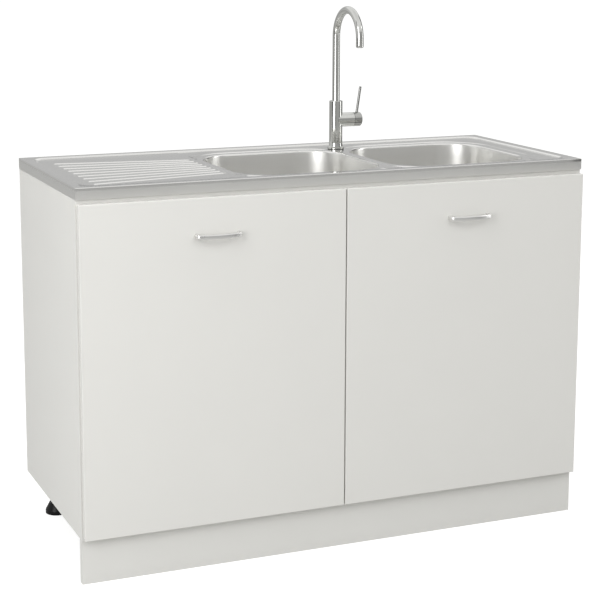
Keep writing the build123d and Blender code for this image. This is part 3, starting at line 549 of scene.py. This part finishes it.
def box_distance_group():
    """A node group: distance from a rounded box, negative inside it."""
    graph, given = new_tree("rounded box distance", "Float",
                            Vector=("Place", "Centre", "Half size"), Float=("Corner",))
    corner = given["Corner"]
    offset = graph.vector("ABSOLUTE", graph.vector("SUBTRACT", given["Place"],
                                                   given["Centre"]))
    round_off = graph.add("ShaderNodeCombineXYZ", {"X": corner, "Y": corner}).outputs[0]
    over = graph.vector("SUBTRACT", offset, graph.vector("SUBTRACT", given["Half size"],
                                                         round_off))
    outside = graph.vector("LENGTH", graph.vector("MAXIMUM", over, (0.0, 0.0, 0.0)), out=1)
    parts = graph.parts(over)
    inside = graph.math("MINIMUM", graph.math("MAXIMUM", parts[0], parts[1]), 0.0)
    total = graph.minus(graph.plus(outside, inside), corner)
    graph.add("NodeGroupOutput", {"Float": total})
    return graph.tree


# Soft edges of what is pressed: how the two bowls' beads join, where the bead fades inside the
# deck's edge and round the tap, and half the level top of the bead and of a ridge
BEAD_JOIN, BEAD_TOP, RIDGE_TOP = 30 * MM, 1.5 * MM, 0.4 * MM
EDGE_FADE, TAP_FADE = (-13 * MM, -3 * MM), 12 * MM

# The step outside the bead: its width, its height as a share of the bead's, and where it comes
# up behind the ridges
STEP_WIDTH, STEP_SHARE, STEP_FADE = 9 * MM, 0.55, (2 * MM, 90 * MM)


def press_tree():
    """The rule that presses the sheet: a bead round the bowls and the drainer's ridges."""
    graph, given = new_tree(
        "press the sheet", "Geometry", Geometry=("Geometry",),
        Vector=("Left bowl", "Right bowl", "Bowl half size", "Deck middle", "Deck half size",
                "Tap", "Ridge start"),
        Float=("Bowl corner", "Deck corner", "Tap clearance", "Bead distance", "Bead width",
               "Bead height", "Ridge end", "Ridge pitch", "Ridge fan", "Ridge outermost",
               "Ridge width", "Ridge height"),
        Material=("Finish",))
    group = box_distance_group()
    flat = graph.vector("MULTIPLY", graph.add("GeometryNodeInputPosition").outputs[0],
                        (1.0, 1.0, 0.0))

    def distance(middle, half, corner):
        """Distance of the sheet's points from a rounded box, by the names of its sizes."""
        return graph.fill(graph.add("GeometryNodeGroup", node_tree=group),
                          (flat, given[middle], given[half], given[corner]))

    near = graph.math("SMOOTH_MIN", distance("Left bowl", "Bowl half size", "Bowl corner"),
                      distance("Right bowl", "Bowl half size", "Bowl corner"), BEAD_JOIN)
    inside = graph.ramp(distance("Deck middle", "Deck half size", "Deck corner"), *EDGE_FADE,
                        1.0, 0.0)
    from_tap = graph.vector("DISTANCE", flat, given["Tap"], out=1)
    clear = graph.ramp(from_tap, given["Tap clearance"],
                       graph.plus(given["Tap clearance"], TAP_FADE), 0.0, 1.0)
    off = graph.math("ABSOLUTE", graph.minus(near, given["Bead distance"]))
    bead = graph.ramp(off, BEAD_TOP, graph.times(given["Bead width"], 0.5),
                      given["Bead height"], 0.0)
    beyond = graph.plus(given["Bead distance"], given["Bead width"])
    step = graph.ramp(near, beyond, graph.plus(beyond, STEP_WIDTH), 0.0,
                      graph.times(given["Bead height"], STEP_SHARE))
    place, start = graph.parts(flat), graph.parts(given["Ridge start"])
    fade = [graph.plus(given["Ridge end"], way) for way in STEP_FADE]
    behind = graph.ramp(place[0], *fade, 0.0, 1.0)
    raised = graph.plus(bead, graph.times(step, behind))
    raised = graph.times(graph.times(raised, inside), clear)

    along = graph.minus(place[0], start[0])
    fan = graph.minus(1.0, graph.math("DIVIDE", along, given["Ridge fan"]))
    pitch = graph.times(given["Ridge pitch"], fan)
    count = graph.math("DIVIDE", graph.minus(place[1], start[1]), pitch)
    most = given["Ridge outermost"]
    nearest = graph.math("MAXIMUM", graph.math("MINIMUM", graph.math("ROUND", count), most),
                         graph.times(most, -1.0))
    across = graph.times(graph.minus(count, nearest), pitch)
    past = graph.math("MAXIMUM", graph.minus(start[0], place[0]),
                      graph.minus(place[0], given["Ridge end"]))
    past = graph.math("MAXIMUM", past, 0.0)
    away = graph.math("SQRT", graph.plus(graph.times(across, across),
                                         graph.times(past, past)))
    ridge = graph.ramp(away, RIDGE_TOP, graph.times(given["Ridge width"], 0.5),
                       given["Ridge height"], 0.0)
    offset = graph.add("ShaderNodeCombineXYZ", {"Z": graph.plus(raised, ridge)}).outputs[0]
    pressed = graph.add("GeometryNodeSetPosition", {"Geometry": given["Geometry"],
                                                    "Offset": offset})
    return end_tree(graph, pressed.outputs[0], given["Finish"])


class MakeSinkSheet(bpy.types.Operator):
    """Builds the pressed steel sheet with its drainer and two bowls"""
    bl_idname = "sink_unit.sink_sheet"
    bl_label = "Sink sheet"

    def execute(self, context):
        sizes = context.scene.sink_unit_sheet
        plan = SheetPlan(sizes)
        carrier = add_piece("sink_plan", plan.build())
        values = by_label(sizes) | {
            "Left bowl": (plan.left_x, plan.bowl_y, 0.0),
            "Right bowl": (plan.right_x, plan.bowl_y, 0.0),
            "Bowl half size": (sizes.bowl_width / 2, sizes.bowl_length / 2, 0.0),
            "Deck middle": (0.0, DECK_MID_Y, 0.0),
            "Deck half size": (plan.half_x, plan.half_y, 0.0),
            "Tap": (*TAP_AXIS, 0.0),
            "Tap clearance": TAP_CLEARANCE,
            "Ridge start": (plan.ridge_start, plan.bowl_y, 0.0),
            "Ridge end": plan.ridge_end,
            "Ridge outermost": (sizes.ridge_count - 1) / 2,
            "Finish": finish("sink_steel"),
        }
        sheet = run_tree(carrier, press_tree(), values, "sink_sheet")
        shade(sheet, 40)
        thicken(sheet, "sheet thickness", SHEET)
        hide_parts("sink_deck", "left_bowl", "right_bowl")
        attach(sheet, "cabinet")
        return {"FINISHED"}


# ---- Swan-neck spout and handles ----
END_GIRTH = 0.93
SOFT_END, HARD_END = 2 * MM, 1e-6
SECTION_STEPS, SPOUT_BEND_STEPS, HANDLE_BEND_STEPS, BOW_STEPS = 12, 40, 6, 20


def bent_tube_tree():
    """A bar or tube along a path whose corners are bent, with a softened end."""
    graph, given = new_tree(
        "bent tube", "Geometry", Geometry=("Geometry",),
        Float=("Width", "Height", "Edge radius", "Bend radius", "End softening"),
        Int=("Bend steps",), Bool=("Closed ends",), Material=("Finish",))

    def rounded(curve, radius, steps):
        """A curve with its corners rounded off."""
        node = graph.add("GeometryNodeFilletCurve", {"Curve": curve, "Radius": radius,
                                                     "Limit Radius": True, "Count": steps},
                         mode="POLY")
        return node.outputs[0]

    gone = graph.add("GeometryNodeSplineParameter").outputs["Length"]
    left = graph.minus(graph.add("GeometryNodeSplineLength").outputs[0], gone)
    section = graph.add("GeometryNodeCurvePrimitiveQuadrilateral",
                        {"Width": given["Width"], "Height": given["Height"]}).outputs[0]
    tube = graph.add("GeometryNodeCurveToMesh", {
        "Curve": rounded(given["Geometry"], given["Bend radius"], given["Bend steps"]),
        "Profile Curve": rounded(section, given["Edge radius"], SECTION_STEPS),
        "Scale": graph.ramp(left, 0.0, given["End softening"], END_GIRTH, 1.0),
        "Fill Caps": given["Closed ends"]})
    return end_tree(graph, tube.outputs[0], given["Finish"])


def bent_bar(name, places, slot, values):
    """A bar or tube through places, with the finish of a slot and the sizes given."""
    line = bpy.data.curves.new(name + "_path", "CURVE")
    line.dimensions = "3D"
    spline = line.splines.new("POLY")
    spline.points.add(len(places) - 1)
    for point, place in zip(spline.points, places):
        point.co = (*place, 1.0)
    carrier = add_piece(name + "_path", line)
    piece = run_tree(carrier, bent_tube_tree(), {**values, "Finish": finish(slot)}, name)
    outward(piece)
    return piece


class MakeSpout(bpy.types.Operator):
    """Builds the swan-neck spout as a tube along its bent path"""
    bl_idname = "sink_unit.spout"
    bl_label = "Spout"

    def execute(self, context):
        sizes = context.scene.sink_unit_tap
        radius = sizes.spout_radius
        outlet_y, top = SPOUT_LOW[1] + radius, SPOUT_HIGH[2] - radius
        x, y = TAP_AXIS
        places = [(x, y, SPOUT_LOW[2]), (x, y, top), (x, outlet_y, top)]
        places += [(x, outlet_y, SPOUT_OUTLET + SOFT_END * k / 4) for k in (4, 3, 2, 1, 0)]
        spout = bent_bar("spout_tube", places, "tap_chrome", {
            "Width": 2 * radius, "Height": 2 * radius, "Edge radius": radius,
            "Bend radius": sizes.bend_radius, "Bend steps": SPOUT_BEND_STEPS,
            "End softening": SOFT_END, "Closed ends": False})
        shade(spout)
        thicken(spout, "tube wall", sizes.spout_wall)
        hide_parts("spout")
        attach(spout, "spout")
        return {"FINISHED"}


class MakeHandles(bpy.types.Operator):
    """Builds the slim bow handle of each door as a plump bar along its arch"""
    bl_idname = "sink_unit.handles"
    bl_label = "Handles"

    def execute(self, context):
        sizes = context.scene.sink_unit_handle
        for side in ("left", "right"):
            low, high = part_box(side + "_handle")
            x, _, z = middle(low, high)
            half = (high[0] - low[0]) / 2 - sizes.thickness / 2
            door, peak = high[1], low[1] + sizes.thickness / 2
            rise = door - sizes.shoulder - peak
            radius = (half * half + rise * rise) / (2 * rise)
            widest = math.asin(half / radius)
            places = [(x + radius * math.sin(turn), peak + radius * (1 - math.cos(turn)), z)
                      for turn in spread(-widest, widest, BOW_STEPS)]
            places = [(x - half, door, z), *places, (x + half, door, z)]
            handle = bent_bar(side + "_bow_handle", places, "satin_metal", {
                "Width": sizes.thickness, "Height": sizes.height, "Edge radius": sizes.edge,
                "Bend radius": sizes.bend, "Bend steps": HANDLE_BEND_STEPS,
                "End softening": HARD_END, "Closed ends": True})
            shade(handle, 50)
            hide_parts(side + "_handle")
            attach(handle, side + "_door")
        return {"FINISHED"}


# ---- Finishes ----
# How far below its top edge a drawn bowl turns matt, and how much rougher it gets
MATT_FADE, MATT_ROUGHER = 6 * MM, 0.24


class Look(Graph):
    """A new material's graph, with its main shader and object coordinates."""

    def __init__(self, name):
        self.material = bpy.data.materials.new("finish_" + name)
        self.material.use_nodes = True
        super().__init__(self.material.node_tree)
        self.shader = self.tree.nodes["Principled BSDF"]
        self.place = self.add("ShaderNodeTexCoord").outputs["Object"]

    def surface(self, name, value):
        """Feeds one input of the main shader."""
        self.feed(self.shader.inputs[name], value)

    def noise(self, scale, detail=3.0, rough=0.5):
        """Soft noise from 0 to 1, with one scale or one for each axis."""
        place = self.place
        if isinstance(scale, tuple):
            place = self.add("ShaderNodeMapping", {"Vector": place, "Scale": scale}).outputs[0]
            scale = 1.0
        return self.add("ShaderNodeTexNoise", {"Vector": place, "Scale": scale, "Detail": detail,
                                               "Roughness": rough}).outputs["Fac"]

    def tint(self, factor, base, low, high):
        """Lets the base colour vary between two levels of itself."""
        mix = self.add("ShaderNodeMix", data_type="RGBA")
        self.feed(mix.inputs[0], factor)
        for socket, level in ((6, low), (7, high)):
            self.feed(mix.inputs[socket], (*[min(1.0, part * level) for part in base], 1.0))
        self.surface("Base Color", mix.outputs[2])

    def rough(self, factor, low, high, start=0.3, end=0.7):
        """Lets the roughness vary between two levels."""
        self.surface("Roughness", self.ramp(factor, start, end, low, high))

    def relief(self, height, strength, distance):
        """Fine surface relief."""
        bump = self.add("ShaderNodeBump", {"Height": height, "Strength": strength,
                                           "Distance": distance})
        self.surface("Normal", bump.outputs[0])


@cache
def finish(slot):
    """The material of a finish, made once."""
    look = Look(slot)
    RECIPES[slot](look)
    return look.material


def brushed_metal(look, base, rough, streak=(14.0, 1500.0, 1500.0), spread_rough=0.05,
                  depth=0.03, grain=0.0, matt_below=None):
    """Metal with fine lines along one direction and faint cloudy wear.

    A grain spreads light up and down on walls and along the front on flats. Below a height the
    metal is matter, as in a deep-drawn bowl."""
    lines = look.noise(streak, 4.0, 0.6)
    cloud = look.noise(9.0)
    look.surface("Metallic", 1.0)
    look.tint(look.plus(look.times(lines, 0.6), look.times(cloud, 0.4)), base, 0.97, 1.03)
    level = look.ramp(lines, 0.3, 0.7, rough - spread_rough / 2, rough + spread_rough / 2)
    level = look.plus(level, look.ramp(cloud, 0.35, 0.7, -0.02, 0.04))
    if matt_below is not None:
        drawn = look.ramp(look.parts(look.place)["Z"], matt_below - MATT_FADE, matt_below,
                          MATT_ROUGHER, 0.0)
        level = look.plus(level, drawn)
    look.surface("Roughness", level)
    look.relief(lines, depth, 0.03 * MM)
    if grain:
        facing = look.add("ShaderNodeNewGeometry").outputs["Normal"]
        flat = look.ramp(look.math("ABSOLUTE", look.parts(facing)["Z"]), 0.5, 0.9, 0.0, 1.0)
        sure = look.math("ABSOLUTE", look.math("MULTIPLY_ADD", flat, 2.0, -1.0))
        look.surface("Anisotropic", look.times(sure, grain))
        across = look.add("ShaderNodeMix", data_type="VECTOR")
        for socket, value in ((0, flat), (4, (0.0, 0.0, 1.0)), (5, (1.0, 0.0, 0.0))):
            look.feed(across.inputs[socket], value)
        look.surface("Tangent", across.outputs[1])


def polished_metal(look, base, rough=0.08):
    """Bright plating with faint smears."""
    smear = look.noise((60.0, 60.0, 18.0), 4.0, 0.65)
    look.surface("Metallic", 1.0)
    look.tint(smear, base, 0.96, 1.03)
    look.rough(smear, rough, rough + 0.03, 0.35, 0.75)


def cast_metal(look, base, rough=0.42):
    """Plain zinc or brass with a mottled grain."""
    spots = look.noise(650.0, 3.0, 0.6)
    look.surface("Metallic", 1.0)
    look.tint(look.noise(60.0, 2.0), base, 0.85, 1.1)
    look.rough(spots, rough - 0.08, rough + 0.1)
    look.relief(spots, 0.25, 0.06 * MM)


def gloss_board(look, base):
    """Lacquered front: even colour, a faint orange-peel skin and a clear coat."""
    cloud = look.noise(7.0)
    look.tint(cloud, base, 0.985, 1.012)
    look.rough(cloud, 0.2, 0.25)
    look.surface("Coat Weight", 0.25)
    look.surface("Coat Roughness", 0.08)
    look.relief(look.noise(240.0, 2.0), 0.05, 0.08 * MM)


def melamine_board(look, base):
    """Coated board with a fine pearl grain."""
    pearl = look.add("ShaderNodeTexVoronoi", {"Vector": look.place, "Scale": 900.0}).outputs[0]
    cloud = look.noise(12.0, 4.0, 0.6)
    look.tint(cloud, base, 0.98, 1.015)
    look.rough(cloud, 0.38, 0.48)
    look.relief(pearl, 0.12, 0.05 * MM)


def moulded_plastic(look, base, rough=0.38, gleam=0.5):
    """Moulded plastic with a fine spark grain and slight flow marks."""
    flow = look.noise((30.0, 30.0, 90.0))
    look.tint(flow, base, 0.95, 1.05)
    look.rough(flow, rough - 0.05, rough + 0.08)
    look.surface("Specular IOR Level", gleam)
    look.relief(look.noise(1100.0, 2.0), 0.18, 0.06 * MM)


def rubber(look, base, rough=0.62, clear=0.0):
    """Soft rubber, matt, and partly clear where the real one is."""
    skin = look.noise(420.0, 4.0, 0.7)
    look.tint(skin, base, 0.9, 1.08)
    look.rough(skin, rough, rough + 0.15)
    look.surface("Transmission Weight", clear)
    look.relief(skin, 0.2, 0.08 * MM)


def pale_wood(look, base):
    """Beech with short flecks along the peg."""
    grain = look.noise((60.0, 700.0, 700.0), 5.0, 0.65)
    fleck = look.noise((220.0, 1500.0, 1500.0), 1.0)
    look.tint(look.plus(look.times(grain, 0.7), look.times(fleck, 0.3)), base, 0.7, 1.2)
    look.rough(grain, 0.5, 0.7)
    look.relief(grain, 0.3, 0.1 * MM)


def fibre_board(look, base):
    """Thin pressed board, lacquered white, with its fibres just showing."""
    fibres = look.noise((260.0, 260.0, 520.0), 5.0, 0.7)
    cloud = look.noise(5.0, 4.0, 0.6)
    look.tint(look.times(look.plus(fibres, cloud), 0.5), base, 0.94, 1.04)
    look.rough(fibres, 0.5, 0.66)
    look.relief(fibres, 0.2, 0.08 * MM)


def recipes(colours):
    """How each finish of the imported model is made, by the name of its slot."""
    chrome = colours.chrome
    return {
        "sink_steel": partial(brushed_metal, base=colours.steel, rough=0.15, grain=0.6,
                              spread_rough=0.03, depth=0.015,
                              matt_below=DECK_HIGH[2] - 3.2 * MM),
        "strainer_steel": partial(brushed_metal, base=(0.56, 0.56, 0.55), rough=0.24,
                                  streak=(300.0, 300.0, 300.0)),
        "tap_chrome": partial(polished_metal, base=chrome),
        # The lever's cap and pin are the tap's chrome made darker: painted shade, not a finish of
        # their own
        "lever_chrome": partial(polished_metal, base=[0.72 * part for part in chrome],
                                rough=0.12),
        "pin_chrome": partial(polished_metal, base=[0.45 * part for part in chrome], rough=0.2),
        "tap_brass": partial(cast_metal, base=(0.70, 0.50, 0.22), rough=0.3),
        "satin_metal": partial(brushed_metal, base=colours.handle, rough=0.3,
                               streak=(12.0, 500.0, 500.0), depth=0.12),
        "gloss_door": partial(gloss_board, base=colours.door),
        "white_board": partial(melamine_board, base=colours.board),
        "white_hardboard": partial(fibre_board, base=(0.72, 0.71, 0.68)),
        "beech": partial(pale_wood, base=(0.62, 0.42, 0.24)),
        "zinc_alloy": partial(cast_metal, base=(0.50, 0.50, 0.51)),
        "zinc_steel": partial(cast_metal, base=(0.62, 0.63, 0.64), rough=0.28),
        "hinge_steel": partial(brushed_metal, base=(0.60, 0.60, 0.60), rough=0.3,
                               streak=(200.0, 200.0, 900.0), depth=0.15),
        "black_plastic": partial(moulded_plastic, base=colours.feet, gleam=0.2),
        "white_pipe_plastic": partial(moulded_plastic, base=colours.pipe, rough=0.3),
        "grey_plastic": partial(moulded_plastic, base=(0.30, 0.30, 0.31)),
        "seal_rubber": partial(rubber, base=(0.03, 0.03, 0.03)),
        "clear_rubber": partial(rubber, base=(0.75, 0.76, 0.76), rough=0.3, clear=0.6),
    }


RECIPES = {}
# The lever's pin and cap get darker copies of the tap chrome, which are painted shade
PAINTED_SHADE_CHROME = {"lever_pin": "pin_chrome", "lever_cap": "lever_chrome"}


class FinishParts(bpy.types.Operator):
    """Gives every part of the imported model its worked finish"""
    bl_idname = "sink_unit.finish_parts"
    bl_label = "Finishes"

    def execute(self, context):
        for name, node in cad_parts.items():
            for slot in node.material_slots:
                slot.material = finish(PAINTED_SHADE_CHROME.get(name, slot.material.name.split(".")[0]))
        return {"FINISHED"}


# ---- Stage ----
# How bright metal sees the surroundings: in front, at the left, at the left towards the back,
# behind, above and straight above
MIRRORED_FRONT, MIRRORED_LEFT, MIRRORED_LEFT_BACK = 0.42, 0.9, 0.68
MIRRORED_BACK, MIRRORED_TOP, MIRRORED_ZENITH = 0.52, 1.0, 0.9

# Each lamp: name and setting, place, target, width, height and whether metal mirrors it
LAMPS = (("key", (-2.6, -1.9, 1.75), (0, 0, 1.1), 1.3, 3.0, True),
         ("front", (0.9, -3.6, 3.2), (0, 0, 0.7), 3.0, 1.8, False),
         ("top", (-0.5, 0.4, 3.2), (0.1, 0.1, 0.8), 3.6, 2.6, False),
         ("side", (3.1, -1.25, 1.6), (0, 0, 0.9), 0.5, 3.0, True))

# Each dark card: name, degrees to the right from the front, distance, width and grey level
CARDS = (("dark_card_left", -88, 3.1, 0.7, 0.02), ("dark_card_front", -25, 3.0, 0.35, 0.02),
         ("dark_card_right", 45, 3.1, 0.4, 0.1), ("dark_card_far_right", 104, 3.1, 1.0, 0.02))
CARD_HEIGHT = 4.0
FLOOR_REACH = 40.0

# The camera's place, its turn in degrees and its lens shift
CAMERA_PLACE = (-1.420, -3.311, 1.338)
CAMERA_TURN = (80.45, 0.0, -22.09)
CAMERA_SHIFT = (0.0461, -0.15)


def seen_and_glossy(graph):
    """Whether a ray comes from the camera, straight or through a clear part, or is mirrored."""
    path = graph.add("ShaderNodeLightPath").outputs
    seen = graph.math("MAXIMUM", path["Is Camera Ray"], path["Is Transmission Ray"])
    return seen, path["Is Glossy Ray"]


def plain_world(sky):
    """Even light from all round that is white behind the object and shaded in metal."""
    world = bpy.data.worlds.new("studio")
    bpy.context.scene.world = world
    world.use_nodes = True
    graph = Graph(world.node_tree)
    seen, glossy = seen_and_glossy(graph)
    toward = graph.parts(graph.add("ShaderNodeTexCoord").outputs["Generated"])
    mirrored = graph.ramp(toward["Y"], -0.5, 0.6, MIRRORED_FRONT, MIRRORED_BACK)
    left = graph.ramp(toward["Y"], 0.1, 0.5, MIRRORED_LEFT, MIRRORED_LEFT_BACK)
    mirrored = graph.ramp(toward["X"], -0.6, -0.15, left, mirrored)
    mirrored = graph.ramp(toward["Z"], 0.3, 0.55, mirrored, MIRRORED_TOP)
    mirrored = graph.ramp(toward["Z"], 0.8, 0.97, mirrored, MIRRORED_ZENITH)
    strength = graph.plus(sky, graph.times(seen, 1.0 - sky))
    gloss = graph.times(glossy, graph.minus(mirrored, sky))
    shade_node = world.node_tree.nodes["Background"]
    shade_node.inputs["Color"].default_value = (1.0, 1.0, 1.0, 1.0)
    graph.feed(shade_node.inputs["Strength"], graph.plus(strength, gloss))


def floor_material():
    """A pale floor that reads as white and keeps the object's shadow."""
    material = bpy.data.materials.new("studio_floor")
    material.use_nodes = True
    tree = material.node_tree
    graph = Graph(tree)
    tree.nodes.remove(tree.nodes["Principled BSDF"])
    seen, glossy = seen_and_glossy(graph)
    glow = graph.plus(graph.times(seen, 0.8), graph.times(glossy, 0.2))
    paint = graph.add("ShaderNodeBsdfDiffuse", {"Color": (0.42, 0.42, 0.41, 1.0)})
    light = graph.add("ShaderNodeEmission", {"Color": (1.0, 1.0, 1.0, 1.0), "Strength": glow})
    both = graph.add("ShaderNodeAddShader")
    graph.fill(both, (paint.outputs[0], light.outputs[0]))
    graph.feed(tree.nodes["Material Output"].inputs["Surface"], both.outputs[0])
    return material


def flat_piece(name, corners, material):
    """One flat four-cornered piece."""
    mesh = bpy.data.meshes.new(name)
    mesh.from_pydata(corners, [], [(0, 1, 2, 3)])
    mesh.materials.append(material)
    return add_piece(name, mesh)


def dark_card(name, degrees, distance, width, level):
    """A dark card that only metal shows, as a dark line beside the bright ones."""
    turn = math.radians(degrees)
    foot = Vector((math.sin(turn), -math.cos(turn), 0.0)) * distance
    side = Vector((math.cos(turn), math.sin(turn), 0.0)) * (width / 2)
    up = Vector((0.0, 0.0, CARD_HEIGHT))
    low = foot - side, foot + side
    material = bpy.data.materials.new(name)
    material.use_nodes = True
    material.node_tree.nodes["Principled BSDF"].inputs["Base Color"].default_value = (
        level, level, level, 1.0)
    card = flat_piece(name, [*low, low[1] + up, low[0] + up], material)
    card.visible_camera = card.visible_diffuse = card.visible_shadow = False


def soft_lamp(name, place, target, width, height, energy):
    """A rectangular soft lamp turned to a point."""
    light = bpy.data.lights.new(name, "AREA")
    light.shape = "RECTANGLE"
    light.size, light.size_y, light.energy = width, height, energy
    lamp = bpy.data.objects.new(name, light)
    lamp.location = place
    lamp.rotation_euler = (Vector(target) - Vector(place)).to_track_quat("-Z", "Y").to_euler()
    bpy.context.scene.collection.objects.link(lamp)
    return lamp


class SetStage(bpy.types.Operator):
    """Sets the floor, the soft lamps, the white backdrop and the camera"""
    bl_idname = "sink_unit.stage"
    bl_label = "Stage"

    def execute(self, context):
        scene = context.scene
        settings = scene.sink_unit_stage
        plain_world(settings.sky)
        corners = [(x * FLOOR_REACH, y * FLOOR_REACH, 0)
                   for x, y in ((-1, -1), (1, -1), (1, 1), (-1, 1))]
        flat_piece("studio_floor", corners, floor_material())
        for key, place, target, width, height, mirrored in LAMPS:
            lamp = soft_lamp(key + "_lamp", place, target, width, height, getattr(settings, key))
            lamp.visible_glossy = mirrored
        for card in CARDS:
            dark_card(*card)
        lens = bpy.data.cameras.new("camera")
        lens.lens, lens.sensor_width, lens.clip_end = settings.lens, 36.0, 200.0
        lens.shift_x, lens.shift_y = CAMERA_SHIFT
        camera = bpy.data.objects.new("camera", lens)
        camera.location = CAMERA_PLACE
        camera.rotation_euler = [math.radians(degrees) for degrees in CAMERA_TURN]
        scene.collection.objects.link(camera)
        scene.camera = camera
        scene.view_settings.view_transform = "Standard"
        return {"FINISHED"}


# ---- Panel and registration ----
GROUPS = (("sink_unit_sheet", SinkSheetSizes), ("sink_unit_tap", TapSizes),
          ("sink_unit_handle", HandleSizes), ("sink_unit_finishes", Finishes),
          ("sink_unit_stage", StageSettings))
STEPS = (SetStage, FinishParts, MakeSinkSheet, MakeSpout, MakeHandles)


class SinkUnitPanel(bpy.types.Panel):
    """Lists the pieces with their sizes and colours"""
    bl_idname = "VIEW3D_PT_sink_unit"
    bl_label = "Sink Unit"
    bl_space_type = "VIEW_3D"
    bl_region_type = "UI"
    bl_category = "Sink Unit"

    def draw(self, context):
        for step in STEPS:
            self.layout.operator(step.bl_idname)
        for name, group in GROUPS:
            box = self.layout.box()
            for key in group.__annotations__:
                box.prop(getattr(context.scene, name), key)


def register():
    """Adds the sizes, operators and panel."""
    for name, group in GROUPS:
        bpy.utils.register_class(group)
        setattr(bpy.types.Scene, name, PointerProperty(type=group))
    for cls in (*STEPS, SinkUnitPanel):
        bpy.utils.register_class(cls)


def unregister():
    """Takes the panel, operators and sizes away again."""
    for cls in (SinkUnitPanel, *reversed(STEPS)):
        bpy.utils.unregister_class(cls)
    for name, group in reversed(GROUPS):
        delattr(bpy.types.Scene, name)
        bpy.utils.unregister_class(group)


def main():
    """Builds everything in order."""
    register()
    RECIPES.update(recipes(bpy.context.scene.sink_unit_finishes))
    for step in STEPS:
        area, name = step.bl_idname.split(".")
        getattr(getattr(bpy.ops, area), name)()


if __name__ == "__main__":
    main()
